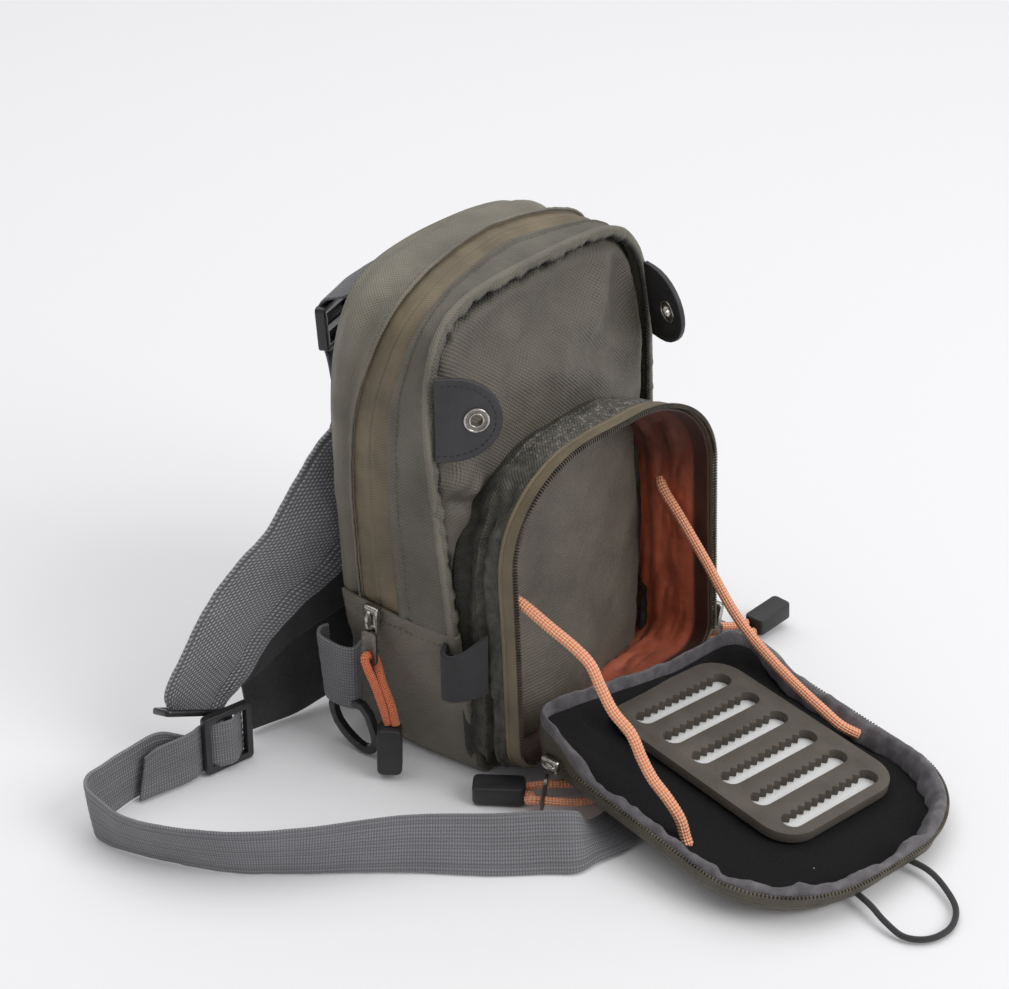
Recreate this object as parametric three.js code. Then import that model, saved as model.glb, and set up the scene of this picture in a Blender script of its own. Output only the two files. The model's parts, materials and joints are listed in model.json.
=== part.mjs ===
import * as THREE from 'three';

// A fishing chest pack with its front pocket folded open, in millimetres.
// The base rests on the floor at the origin, the pocket faces -Y, +X is right seen from the front, +Z is up.

// Cloth and clearances
const GAP = 0.4;
const CLOTH = 1.6;
const LINING = 1.0;
const TAPE = 1.2;
const WEBBING = 1.8;

// Main compartment
const BACK_Y = 34;
const FRONT_FOOT_Y = -34.9;
const FRONT_LEAN = 0.08;
const BODY_HALF_WIDTH = 81;
const BODY_TOP = 220;
const BACK_PAD = 3;
const GUSSET_FOOT = 0.135;
const SEAM_SETBACK = 0.055;
const SEAM_GAP = 0.008;
const PIPING_RADIUS = 1.9;
const FRONT_DOME = 6;

// Front pocket
const RING = { halfWidth: 70.8, height: 141.6, cornerX: 55, cornerY: 42, footRadius: 14 };
const RING_FOOT_Y = -67;
const RING_FOOT_Z = 12;
const RING_LEAN = 0.05;
const RING_TURN = THREE.MathUtils.degToRad(-3.9);
const SEAT = { halfWidth: 71.5, height: 143, cornerX: 58, cornerY: 50, footRadius: 14 };
const SEAT_FOOT_Z = 5;
const TAPE_START = 0.72;
const COIL_RADIUS = 1.1;

// Lid, folded forward: its rim has the ring's outline
const LID = { halfWidth: 68.3, height: 151, cornerX: 55, cornerY: 45, footRadius: 14 };
const LID_HINGE = new THREE.Vector3(2.4, -71.5, 25.7);
const LID_TILT = THREE.MathUtils.degToRad(5.34);
const LID_ROLL = THREE.MathUtils.degToRad(2.15);
const LID_YAW = THREE.MathUtils.degToRad(-11.27);
const LID_DEPTH = 10.4;
const RUFFLES = 16;
const RUFFLE_DEPTH = 1.2;
const HINGE_RIM = 0.45;

// Foam fly patch in the lid
const FOAM = { across: 12, along: 60.5, width: 75, length: 111, corner: 15, thickness: 4.4 };
const SLOTS = { count: 6, first: 19.5, pitch: 17.3, length: 59, width: 9.6, teeth: 11, toothDepth: 2.2 };

// Cords
const TETHER_DIAMETER = 4.6;
const PULL_DIAMETER = 3.8;
const ELASTIC_DIAMETER = 2.6;

// Outline of the compartment, from the foot of one side to the middle of the top.
// Half widths and heights are shares of the section's own: at the front seam, and where the main zip runs.
const OUTLINE = [
  { frontWidth: 0.760, frontHeight: 0.000, zipWidth: 0.780, zipHeight: 0.000 },
  { frontWidth: 0.805, frontHeight: 0.018, zipWidth: 0.825, zipHeight: 0.017 },
  { frontWidth: 0.850, frontHeight: 0.130, zipWidth: 0.875, zipHeight: 0.120 },
  { frontWidth: 0.925, frontHeight: 0.280, zipWidth: 0.945, zipHeight: 0.270 },
  { frontWidth: 0.960, frontHeight: 0.450, zipWidth: 0.980, zipHeight: 0.430 },
  { frontWidth: 0.990, frontHeight: 0.640, zipWidth: 1.000, zipHeight: 0.580 },
  { frontWidth: 1.000, frontHeight: 0.770, zipWidth: 0.985, zipHeight: 0.700 },
  { frontWidth: 0.975, frontHeight: 0.850, zipWidth: 0.930, zipHeight: 0.790 },
  { frontWidth: 0.910, frontHeight: 0.915, zipWidth: 0.840, zipHeight: 0.865 },
  { frontWidth: 0.800, frontHeight: 0.962, zipWidth: 0.710, zipHeight: 0.925 },
  { frontWidth: 0.620, frontHeight: 0.988, zipWidth: 0.520, zipHeight: 0.967 },
  { frontWidth: 0.340, frontHeight: 0.998, zipWidth: 0.280, zipHeight: 0.992 },
  { frontWidth: 0.000, frontHeight: 1.000, zipWidth: 0.000, zipHeight: 1.000 },
];

// Sections of the compartment from the back panel (depth 0) to the front seam (depth 1).
const SECTIONS = [
  { depth: 0.00, halfWidth: 77.0, top: 225.0, roundness: 0.30 },
  { depth: 0.16, halfWidth: 80.5, top: 228.0, roundness: 0.35 },
  { depth: 0.33, halfWidth: 82.0, top: 229.0, roundness: 0.40 },
  { depth: 0.48, halfWidth: 83.0, top: 228.0, roundness: 0.40 },
  { depth: 0.75, halfWidth: 83.0, top: 224.0, roundness: 0.25 },
  { depth: 1.00, halfWidth: 81.0, top: 219.5, roundness: 0.00 },
];

// Where the main zip's two edges run, by place along the arch from its foot to the middle of the top.
const ZIP_LINE = [
  { along: 0.100, rear: 0.215, front: 0.575 },
  { along: 0.180, rear: 0.218, front: 0.583 },
  { along: 0.250, rear: 0.250, front: 0.615 },
  { along: 0.300, rear: 0.335, front: 0.660 },
  { along: 0.347, rear: 0.480, front: 0.750 },
  { along: 0.388, rear: 0.575, front: 0.830 },
  { along: 0.430, rear: 0.570, front: 0.800 },
  { along: 0.500, rear: 0.510, front: 0.725 },
];

// Folds of the front panel above the pocket: middle, direction from +X, half length, half width and height.
const FOLDS = [
  { x: -22, z: 196, turn: 25, reach: 30, width: 7, height: -2.2 },
  { x: 18, z: 188, turn: -35, reach: 34, width: 8, height: 2.0 },
  { x: 42, z: 176, turn: -60, reach: 26, width: 7, height: -2.4 },
  { x: -48, z: 172, turn: 55, reach: 24, width: 6, height: -2.0 },
];

// Profile of the gathered rim lining, from the teeth inwards and down to the lid's floor.
const RIM_PROFILE = [
  { inset: 3.4, height: -0.4 },
  { inset: 4.6, height: 2.6 },
  { inset: 7.6, height: 1.0 },
  { inset: 10.6, height: -4.2 },
];

// Routes of the cords: each row is a point of the centre line.
const TETHER_LEFT = [
  { x: -66.5, y: -58, z: 97.5 }, { x: -66.2, y: -72, z: 92.5 }, { x: -66.0, y: -89, z: 86 },
  { x: -66.0, y: -100, z: 70.5 }, { x: -65.8, y: -111.5, z: 55 }, { x: -65.4, y: -125, z: 36.5 },
  { x: -65.0, y: -136, z: 24.5 }, { x: -64.8, y: -142.5, z: 16.5 },
];
const TETHER_RIGHT = [
  { x: 62.6, y: -43, z: 96 }, { x: 60.8, y: -55.7, z: 82.4 }, { x: 58.4, y: -71.7, z: 65 },
  { x: 55.7, y: -89.6, z: 45.5 }, { x: 53.0, y: -102, z: 37 }, { x: 48.0, y: -124, z: 27 },
  { x: 42.6, y: -146, z: 20.4 }, { x: 39.6, y: -157, z: 15.4 },
];
const ELASTIC = [
  { x: -16, y: -221.5, z: 5.5 }, { x: -13.5, y: -227, z: 4.5 }, { x: -19, y: -238, z: 3.5 },
  { x: -27.5, y: -247, z: 2.5 }, { x: -39, y: -250, z: 2 }, { x: -50, y: -246, z: 2 },
  { x: -55, y: -238, z: 2.5 }, { x: -53, y: -228.5, z: 4 }, { x: -47.5, y: -218.5, z: 5.5 },
];
const MAIN_PULL = [
  { x: -90.9, y: -3.9, z: 27.8 }, { x: -90.9, y: -0.7, z: 36 }, { x: -90.8, y: 3.4, z: 46 },
  { x: -91.0, y: 7.8, z: 53.0 }, { x: -89.6, y: 9.0, z: 56.0 }, { x: -86.8, y: 9.0, z: 56.2 },
  { x: -84.3, y: 8.5, z: 55.5 }, { x: -83.0, y: 7.0, z: 52.4 }, { x: -83.8, y: 3.4, z: 45 },
  { x: -86.4, y: -2.4, z: 36 }, { x: -88.2, y: -6.9, z: 27.8 },
];
const LEFT_PULL = [
  { x: -67.4, y: -63.2, z: 6.2 }, { x: -65.3, y: -66.3, z: 7.2 }, { x: -61.5, y: -72, z: 8 },
  { x: -56.5, y: -78, z: 8.2 }, { x: -52.8, y: -84, z: 8.2 }, { x: -52.6, y: -89.5, z: 8 },
  { x: -57, y: -92.5, z: 7.8 }, { x: -64, y: -90.5, z: 8.4 }, { x: -71.6, y: -84.6, z: 10 },
  { x: -77.2, y: -78.3, z: 11.2 }, { x: -79.2, y: -74.4, z: 11.0 }, { x: -77.4, y: -70.8, z: 8.2 },
  { x: -73.4, y: -69.8, z: 6.2 }, { x: -71.6, y: -68.4, z: 5.8 }, { x: -71.7, y: -66.0, z: 5.6 },
];
const RIGHT_PULL = [
  { x: 104.4, y: -70.4, z: 8.6 }, { x: 96, y: -66, z: 9 }, { x: 89.4, y: -61.8, z: 10.4 },
  { x: 84.6, y: -61.6, z: 10.6 }, { x: 81.2, y: -64.3, z: 8.6 }, { x: 79.2, y: -67.4, z: 6.6 },
  { x: 84, y: -69.8, z: 5.4 }, { x: 95, y: -72.4, z: 5.2 }, { x: 103.8, y: -74.8, z: 5.4 },
];

// Shoulder strap: both edges of its woven face, from behind the pack down to the ring,
// and how far its padding reaches past the inner edge.
const STRAP_EDGES = [
  { outerX: -38, outerZ: 158, innerX: -4, innerZ: 118, padLap: 24 },
  { outerX: -59, outerZ: 145, innerX: -22, innerZ: 100, padLap: 24 },
  { outerX: -76, outerZ: 128, innerX: -44, innerZ: 82, padLap: 24 },
  { outerX: -93, outerZ: 104, innerX: -64, innerZ: 68, padLap: 22 },
  { outerX: -108, outerZ: 93, innerX: -80, innerZ: 60.5, padLap: 19 },
  { outerX: -125, outerZ: 75, innerX: -94, innerZ: 49.5, padLap: 14 },
  { outerX: -138, outerZ: 55, innerX: -105, innerZ: 37, padLap: 9 },
  { outerX: -144.5, outerZ: 44, innerX: -113, innerZ: 30, padLap: 4 },
  { outerX: -146, outerZ: 38, innerX: -117, innerZ: 27, padLap: 1 },
];
const STRAP_PLANE = { x: -50, y: 46, slope: -0.306, nearest: 45 };
const STRAP_PAD = 6;
const PAD_SETBACK = 3;
const PAD_CLEARANCE = 1.2;

// Second shoulder strap, folded down behind the pack with its padded side out.
const SECOND_EDGES = [
  { outerX: -10, outerY: 52, outerZ: 66, innerX: -4, innerY: 46, innerZ: 26 },
  { outerX: -30, outerY: 53, outerZ: 58, innerX: -26, innerY: 47, innerZ: 17 },
  { outerX: -48, outerY: 57, outerZ: 49, innerX: -48, innerY: 52, innerZ: 9 },
  { outerX: -63, outerY: 63, outerZ: 39, innerX: -66, innerY: 57, innerZ: 4 },
  { outerX: -77, outerY: 69, outerZ: 31.5, innerX: -81, innerY: 60, innerZ: 2 },
  { outerX: -90, outerY: 73, outerZ: 25, innerX: -95, innerY: 64, innerZ: 2 },
  { outerX: -101, outerY: 74, outerZ: 20, innerX: -104, innerY: 66, innerZ: 3 },
];

// Waist webbing: both edges of the band, from the slider round its bend and under the lid to the pack.
const WAIST_EDGES = [
  { footX: -112, footY: 69.5, footZ: 2, headX: -112, headY: 70.5, headZ: 15 },
  { footX: -124, footY: 68.5, footZ: 1.8, headX: -124, headY: 69.5, headZ: 14 },
  { footX: -137, footY: 68.5, footZ: 1.6, headX: -137, headY: 69, headZ: 16 },
  { footX: -155, footY: 71, footZ: 1.2, headX: -155, headY: 72.5, headZ: 26.4 },
  { footX: -172, footY: 73, footZ: 1.2, headX: -172, headY: 74.8, headZ: 25.8 },
  { footX: -184, footY: 72.5, footZ: 1.2, headX: -185, headY: 75, headZ: 25.5 },
  { footX: -193.5, footY: 71.5, footZ: 1.2, headX: -194.5, headY: 74.2, headZ: 25.5 },
  { footX: -199.5, footY: 66.5, footZ: 1.2, headX: -200, headY: 68.5, headZ: 25.5 },
  { footX: -200.3, footY: 58, footZ: 1.2, headX: -203.4, headY: 56, headZ: 25.5 },
  { footX: -198.3, footY: 46, footZ: 1.2, headX: -205.4, headY: 42, headZ: 25.5 },
  { footX: -193.5, footY: 31, footZ: 1.2, headX: -202.5, headY: 28.5, headZ: 25.5 },
  { footX: -184, footY: 5, footZ: 1.2, headX: -190, headY: 2.5, headZ: 25.8 },
  { footX: -167, footY: -19, footZ: 1.2, headX: -168.5, headY: -22.5, headZ: 26 },
  { footX: -141, footY: -51.4, footZ: 1.2, headX: -136.5, headY: -49, headZ: 25.6 },
  { footX: -118, footY: -86, footZ: 1.2, headX: -109.5, headY: -79.5, headZ: 24 },
  { footX: -106, footY: -100, footZ: 1.2, headX: -97, headY: -92, headZ: 23.4 },
  { footX: -97, footY: -111, footZ: 1.6, headX: -87.5, headY: -102, headZ: 22 },
  { footX: -87, footY: -113.5, footZ: 2, headX: -79, headY: -100, headZ: 13 },
  { footX: -74, footY: -118, footZ: 1.8, headX: -68, headY: -98, headZ: 4.6 },
  { footX: -50, footY: -121, footZ: 1.4, headX: -46, headY: -96.5, headZ: 1.6 },
  { footX: 0, footY: -119, footZ: 1.4, headX: 2, headY: -93.5, headZ: 1.4 },
  { footX: 50, footY: -113, footZ: 1.4, headX: 46, headY: -87.5, headZ: 1.4 },
  { footX: 92, footY: -100, footZ: 1.4, headX: 79, headY: -78, headZ: 1.4 },
  { footX: 108, footY: -56, footZ: 1.4, headX: 83.5, headY: -52, headZ: 2.0 },
  { footX: 104, footY: -16, footZ: 1.4, headX: 79, headY: -16, headZ: 3.6 },
  { footX: 92, footY: 10, footZ: 2, headX: 80, headY: 10, headZ: 14 },
  { footX: 82, footY: 26, footZ: 1.6, headX: 80, headY: 26, headZ: 26 },
];

// Gear loop on the pocket's left side: a row for each step round its bulge.
const GEAR_LOOP = [
  { x: -76.6, y: -26.0, low: 46, high: 70.5 },
  { x: -82.2, y: -28.6, low: 46.6, high: 71.4 },
  { x: -84.6, y: -34, low: 48, high: 74 },
  { x: -82.6, y: -40, low: 49.6, high: 76.6 },
  { x: -77.2, y: -44.6, low: 51, high: 79 },
  { x: -74.6, y: -47.0, low: 52, high: 80.4 },
];

// Webbing loop that carries the snap hook: a row for each step down its outer layer and back up.
const HOOK_LOOP = [
  { x: -78.6, z: 60, front: 22, rear: 37 },
  { x: -83.6, z: 57, front: 22, rear: 37 },
  { x: -87.6, z: 50, front: 22, rear: 37 },
  { x: -87.8, z: 36, front: 21, rear: 36 },
  { x: -86.8, z: 23, front: 18, rear: 30.5 },
  { x: -83.8, z: 17.6, front: 17.5, rear: 30 },
  { x: -80.6, z: 22, front: 18, rear: 30.5 },
  { x: -79.2, z: 36, front: 21, rear: 36 },
  { x: -78.6, z: 50, front: 22, rear: 37 },
];

// Snap hook, seen along +X: its outer and inner outline by distance in front of the back panel and height.
const HOOK_OUTER = [
  { y: 33, z: 27 }, { y: 15.4, z: 27 }, { y: 9, z: 18 }, { y: 6.5, z: 9 }, { y: 9, z: 3.5 },
  { y: 15, z: 1.2 }, { y: 24, z: 4 }, { y: 32, z: 11 }, { y: 35, z: 20 },
];
const HOOK_INNER = [
  { y: 31, z: 23.4 }, { y: 16.6, z: 23.4 }, { y: 12.4, z: 16.5 }, { y: 10.4, z: 9.5 }, { y: 12, z: 6.4 },
  { y: 16, z: 5 }, { y: 22, z: 7.4 }, { y: 29, z: 13 }, { y: 31.6, z: 19.6 },
];
const HOOK_X = -83.8;
const HOOK_THICKNESS = 3.6;

// Tool tabs: the middle of the seam edge, the way the tab stands out, and its size.
const TOOL_TABS = [
  { side: 'left', x: -80.2, y: -24.7, z: 176, outX: 0.705, outY: -0.709, leanX: 0 },
  { side: 'right', x: 75.4, y: -25.6, z: 178.5, outX: -0.42, outY: -0.907, leanX: -0.19 },
];
const TAB = { length: 28, width: 37, straight: 7, thickness: 2.6, eyelet: 17, hole: 3.7 };
const EYELET = { bore: 2.5, barrel: 3.2, flange: 5.2, lip: 0.5 };

// Zip pulls: slider, tab and moulded cord end.
const SLIDER = { width: 8.4, length: 13, height: 4 };
const PULL_TAB = { width: 8.6, length: 16, thickness: 1.4, hole: 2.9 };
const CORD_END = { width: 11, length: 23, thickness: 9 };

// Buckles
const LADDER_LOCK = { width: 28, length: 20, thickness: 4.5, rail: 3, bar: 3 };
const STRAP_RING = { width: 33, length: 13, thickness: 3, rail: 3 };
const TRI_GLIDE = { width: 29, length: 25, thickness: 3.8, rail: 3, bar: 4 };

// Webbing between the pack's top, its buckle and the shoulder strap: both edges.
const TOP_EDGES = [
  { upperX: -36, upperY: 39.8, upperZ: 216, lowerX: -14, lowerY: 39.8, lowerZ: 216 },
  { upperX: -42, upperY: 50, upperZ: 211, lowerX: -20.5, lowerY: 55.6, lowerZ: 211.5 },
  { upperX: -48.3, upperY: 60.8, upperZ: 196.5, lowerX: -28.8, lowerY: 67, lowerZ: 196.7 },
];
const ADJUSTER_EDGES = [
  { upperX: -48.3, upperY: 60.4, upperZ: 170.5, lowerX: -28.8, lowerY: 66.4, lowerZ: 170.5 },
  { upperX: -48.4, upperY: 58, upperZ: 159, lowerX: -27.6, lowerY: 64, lowerZ: 158 },
  { upperX: -48, upperY: 57, upperZ: 147, lowerX: -26, lowerY: 62.6, lowerZ: 144 },
];
const TAIL_EDGES = [
  { upperX: -142.5, upperY: 61.4, upperZ: 25, lowerX: -142.5, lowerY: 61.4, lowerZ: 1.4 },
  { upperX: -151, upperY: 63.4, upperZ: 25, lowerX: -151, lowerY: 63, lowerZ: 1.4 },
  { upperX: -161, upperY: 67.4, upperZ: 23.4, lowerX: -163, lowerY: 66.6, lowerZ: 1.4 },
  { upperX: -166, upperY: 69.4, upperZ: 20.6, lowerX: -171.5, lowerY: 69, lowerZ: 1.4 },
];

const v3 = (x, y, z) => new THREE.Vector3(x, y, z);
const mix = THREE.MathUtils.lerp;
const pack = new THREE.Group();

const MATERIALS = {
  shell: new THREE.MeshStandardMaterial({ color: 0x5b584a, roughness: 0.75 }),
  tape: new THREE.MeshStandardMaterial({ color: 0x5a4f3a, roughness: 0.8 }),
  teeth: new THREE.MeshStandardMaterial({ color: 0x3b3426, roughness: 0.55 }),
  lining: new THREE.MeshStandardMaterial({ color: 0x8a3d26, roughness: 0.7 }),
  rim: new THREE.MeshStandardMaterial({ color: 0x5a5a5e, roughness: 0.6 }),
  fleece: new THREE.MeshStandardMaterial({ color: 0x121214, roughness: 0.98 }),
  foam: new THREE.MeshStandardMaterial({ color: 0x57524a, roughness: 0.9 }),
  foamBase: new THREE.MeshStandardMaterial({ color: 0xeeeeec, roughness: 0.7 }),
  cord: new THREE.MeshStandardMaterial({ color: 0xe0714a, roughness: 0.8 }),
  elastic: new THREE.MeshStandardMaterial({ color: 0x17171a, roughness: 0.7 }),
  tab: new THREE.MeshStandardMaterial({ color: 0x2b2b2f, roughness: 0.55 }),
  metal: new THREE.MeshStandardMaterial({ color: 0xa5a29a, roughness: 0.3, metalness: 1 }),
  plastic: new THREE.MeshStandardMaterial({ color: 0x18181a, roughness: 0.4 }),
  webbing: new THREE.MeshStandardMaterial({ color: 0x66666b, roughness: 0.85 }),
  padding: new THREE.MeshStandardMaterial({ color: 0x1d1d20, roughness: 0.9 }),
};

function addPiece(name, geometry, material, parent = pack) {
  const mesh = new THREE.Mesh(geometry, MATERIALS[material]);
  mesh.name = name;
  parent.add(mesh);
  return mesh;
}

// A closed solid from shared points and triangles, turned so that its faces point out.
function solidFrom(points, faces) {
  let volume = 0;
  for (const [a, b, c] of faces) {
    volume += points[a].dot(v3(0, 0, 0).crossVectors(points[b], points[c]));
  }
  const ordered = volume < 0 ? faces.map(([a, b, c]) => [a, c, b]) : faces;
  const geometry = new THREE.BufferGeometry();
  geometry.setFromPoints(points);
  geometry.setIndex(ordered.flat());
  geometry.computeVertexNormals();
  return geometry;
}

// Cloth of even thickness behind the surface pointAt(u, w), or with its face lifted off that surface.
// A closed sheet joins its last column to its first.
function sheet(pointAt, columns, rows, thickness, closed = false, lift = 0) {
  const across = closed ? columns : columns + 1;
  const face = [];
  for (let i = 0; i < across; i += 1) {
    for (let j = 0; j <= rows; j += 1) {
      face.push(pointAt(i / columns, j / rows));
    }
  }
  const at = (i, j) => ((i + across) % across) * (rows + 1) + j;
  const near = (i) => (closed ? i : THREE.MathUtils.clamp(i, 0, across - 1));
  const outer = [];
  const inner = [];
  for (let i = 0; i < across; i += 1) {
    for (let j = 0; j <= rows; j += 1) {
      const along = face[at(near(i + 1), j)].clone().sub(face[at(near(i - 1), j)]);
      const up = face[at(i, Math.min(j + 1, rows))].clone().sub(face[at(i, Math.max(j - 1, 0))]);
      const normal = along.cross(up).normalize();
      outer.push(face[at(i, j)].clone().addScaledVector(normal, lift));
      inner.push(face[at(i, j)].clone().addScaledVector(normal, lift - thickness));
    }
  }
  const offset = face.length;
  const faces = [];
  const quad = (a, b, c, d) => faces.push([a, b, c], [a, c, d]);
  for (let i = 0; i < columns; i += 1) {
    for (let j = 0; j < rows; j += 1) {
      quad(at(i, j), at(i + 1, j), at(i + 1, j + 1), at(i, j + 1));
      quad(offset + at(i, j), offset + at(i, j + 1), offset + at(i + 1, j + 1), offset + at(i + 1, j));
    }
    quad(at(i, 0), offset + at(i, 0), offset + at(i + 1, 0), at(i + 1, 0));
    quad(at(i, rows), at(i + 1, rows), offset + at(i + 1, rows), offset + at(i, rows));
  }
  if (!closed) {
    for (let j = 0; j < rows; j += 1) {
      quad(at(0, j), at(0, j + 1), offset + at(0, j + 1), offset + at(0, j));
      quad(at(columns, j), offset + at(columns, j), offset + at(columns, j + 1), at(columns, j + 1));
    }
  }
  return solidFrom([...outer, ...inner], faces);
}

// A band of webbing through pairs of edge points, with its thickness shared about them.
function band(edges, steps, thickness) {
  const first = new THREE.CatmullRomCurve3(edges.map(([a]) => a), false, 'centripetal');
  const second = new THREE.CatmullRomCurve3(edges.map(([, b]) => b), false, 'centripetal');
  const surface = (u, w) => first.getPoint(u).lerp(second.getPoint(u), w);
  return sheet(surface, steps, 1, thickness, false, thickness / 2);
}

function regularShape(radius, sides) {
  const points = [];
  for (let i = 0; i < sides; i += 1) {
    const turn = (2 * Math.PI * i) / sides;
    points.push(new THREE.Vector2(radius * Math.cos(turn), radius * Math.sin(turn)));
  }
  return new THREE.Shape(points);
}

function tube(points, radius, steps, sides = 8) {
  const path = new THREE.CatmullRomCurve3(points, false, 'centripetal');
  const options = { steps, bevelEnabled: false, extrudePath: path };
  return new THREE.ExtrudeGeometry(regularShape(radius, sides), options);
}

const cord = (route, diameter, steps) => tube(route.map((p) => v3(p.x, p.y, p.z)), diameter / 2, steps);

function slab(shape, depth, curveSegments = 6) {
  return new THREE.ExtrudeGeometry(shape, { depth, bevelEnabled: false, curveSegments });
}

function roundedRectangle(width, height, radius) {
  const x = width / 2;
  const y = height / 2;
  const shape = new THREE.Shape();
  shape.moveTo(-x + radius, -y);
  shape.lineTo(x - radius, -y);
  shape.absarc(x - radius, -y + radius, radius, -Math.PI / 2, 0);
  shape.lineTo(x, y - radius);
  shape.absarc(x - radius, y - radius, radius, 0, Math.PI / 2);
  shape.lineTo(-x + radius, y);
  shape.absarc(-x + radius, y - radius, radius, Math.PI / 2, Math.PI);
  shape.lineTo(-x, -y + radius);
  shape.absarc(-x + radius, -y + radius, radius, Math.PI, 1.5 * Math.PI);
  return shape;
}

// Main compartment

function archCurve(widthKey, heightKey) {
  const left = OUTLINE.map((row) => v3(-BODY_HALF_WIDTH * row[widthKey], BODY_TOP * row[heightKey], 0));
  const right = left.slice(0, -1).reverse().map((p) => v3(-p.x, p.y, 0));
  return new THREE.CatmullRomCurve3([...left, ...right], false, 'centripetal');
}

const frontArch = archCurve('frontWidth', 'frontHeight');
const zipArch = archCurve('zipWidth', 'zipHeight');
const sectionAt = new THREE.CubicInterpolant(
  SECTIONS.map((row) => row.depth),
  SECTIONS.flatMap((row) => [row.halfWidth, row.top, row.roundness]),
  3,
);
const frontY = (z) => FRONT_FOOT_Y + FRONT_LEAN * z;

// Along runs over the arch from the left foot (0) to the right foot (1).
// Depth runs from the back (0) to the front seam (1).
function bodyPoint(along, depth) {
  const [halfWidth, top, roundness] = sectionAt.evaluate(depth);
  const at = frontArch.getPointAt(along).lerp(zipArch.getPointAt(along), roundness);
  const z = (at.y * top) / BODY_TOP;
  return v3((at.x * halfWidth) / BODY_HALF_WIDTH, mix(BACK_Y, frontY(z), depth), z);
}

const zipLineAt = new THREE.CubicInterpolant(
  ZIP_LINE.map((row) => row.along),
  ZIP_LINE.flatMap((row) => [row.rear, row.front]),
  2,
);

function zipEdges(along) {
  const [rear, front] = zipLineAt.evaluate(Math.min(along, 1 - along));
  return { rear, front };
}

function gusset(depthStart, depthEnd, rows, thickness) {
  const surface = (u, w) => {
    const along = mix(GUSSET_FOOT, 1 - GUSSET_FOOT, u);
    const edges = zipEdges(along);
    return bodyPoint(along, mix(depthStart(edges), depthEnd(edges), w));
  };
  return sheet(surface, 28, rows, thickness);
}

// The lower gusset runs down one side, flat under the base and up the other side.
function bottomGusset(sideSteps, rows) {
  const columns = 2 * sideSteps + 1;
  const foot = GUSSET_FOOT - 0.002;
  const surface = (u, w) => {
    const step = Math.round(u * columns);
    const right = step > sideSteps;
    const rise = (right ? step - sideSteps - 1 : sideSteps - step) / sideSteps;
    const along = rise * foot;
    return bodyPoint(right ? 1 - along : along, mix(0, 1 - SEAM_SETBACK, w));
  };
  return sheet(surface, columns, rows, CLOTH);
}

function foldHeight(x, z) {
  return FOLDS.reduce((sum, fold) => {
    const turn = THREE.MathUtils.degToRad(fold.turn);
    const along = (x - fold.x) * Math.cos(turn) + (z - fold.z) * Math.sin(turn);
    const across = -(x - fold.x) * Math.sin(turn) + (z - fold.z) * Math.cos(turn);
    return sum + fold.height * Math.exp(-((along / fold.reach) ** 2) - (across / fold.width) ** 2);
  }, 0);
}

// How far the front panel stands out from the plane of its seam.
function domeHeight(x, z) {
  const acrossShare = Math.min(1, Math.abs(x) / BODY_HALF_WIDTH);
  const upShare = Math.min(1, Math.abs(z - BODY_TOP / 2) / (BODY_TOP / 2));
  return FRONT_DOME * (1 - acrossShare ** 2) * (1 - upShare ** 2);
}

function frontPanel(columns, rows) {
  const topAlong = 0.412;
  const surface = (u, w) => {
    const edge = bodyPoint(mix(0.012, topAlong, w), 1);
    edge.z -= (PIPING_RADIUS + GAP) * 1.6 * (edge.z / BODY_TOP) ** 6;
    const halfWidth = Math.abs(edge.x) - PIPING_RADIUS - 1.2;
    const x = mix(-halfWidth, halfWidth, u);
    const inside = Math.min(1, 6 * u * (1 - u));
    return v3(x, frontY(edge.z) - domeHeight(x, edge.z) - inside * foldHeight(x, edge.z), edge.z);
  };
  return sheet(surface, columns, rows, CLOTH);
}

function backPanel() {
  const points = [];
  for (let i = 0; i <= 36; i += 1) {
    const p = bodyPoint(i / 36, 0);
    points.push(new THREE.Vector2(p.x, p.z));
  }
  const geometry = slab(new THREE.Shape(points), BACK_PAD);
  geometry.rotateX(Math.PI / 2);
  geometry.translate(0, BACK_Y + 2 * GAP + BACK_PAD, 0);
  return geometry;
}

function pipingRoute() {
  const points = [];
  for (let i = 0; i <= 44; i += 1) {
    points.push(bodyPoint(mix(0.012, 0.988, i / 44), 1));
  }
  return points;
}

addPiece('back_panel', backPanel(), 'padding');
addPiece('rear_gusset', gusset(() => 0, (zip) => zip.rear - SEAM_GAP, 2, CLOTH), 'shell');
addPiece('main_zip_tape', gusset((zip) => zip.rear, (zip) => zip.front, 2, TAPE), 'tape');
addPiece('front_gusset', gusset((zip) => zip.front + SEAM_GAP, () => 1 - SEAM_SETBACK, 2, CLOTH), 'shell');
addPiece('bottom_gusset', bottomGusset(7, 3), 'shell');
addPiece('front_panel', frontPanel(12, 11), 'shell');
addPiece('front_piping', tube(pipingRoute(), PIPING_RADIUS, 32, 6), 'shell');

// Front pocket

// An upright arch with round feet, from the middle of its foot all the way round.
function archShape({ halfWidth, height, cornerX, cornerY, footRadius }, inset = 0) {
  const x = halfWidth - inset;
  const top = height - inset;
  const foot = inset;
  const rx = cornerX - inset * 0.7;
  const ry = cornerY - inset * 0.7;
  const r = Math.max(footRadius - inset, 3);
  const shape = new THREE.Shape();
  shape.moveTo(0, foot);
  shape.lineTo(-x + r, foot);
  shape.absarc(-x + r, foot + r, r, 1.5 * Math.PI, Math.PI, true);
  shape.lineTo(-x, top - ry);
  shape.absellipse(-x + rx, top - ry, rx, ry, Math.PI, Math.PI / 2, true);
  shape.lineTo(x - rx, top);
  shape.absellipse(x - rx, top - ry, rx, ry, Math.PI / 2, 0, true);
  shape.lineTo(x, foot + r);
  shape.absarc(x - r, foot + r, r, 0, -Math.PI / 2, true);
  shape.lineTo(0, foot);
  return shape;
}

const seatShape = archShape(SEAT);
const ringShape = archShape(RING);

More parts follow.
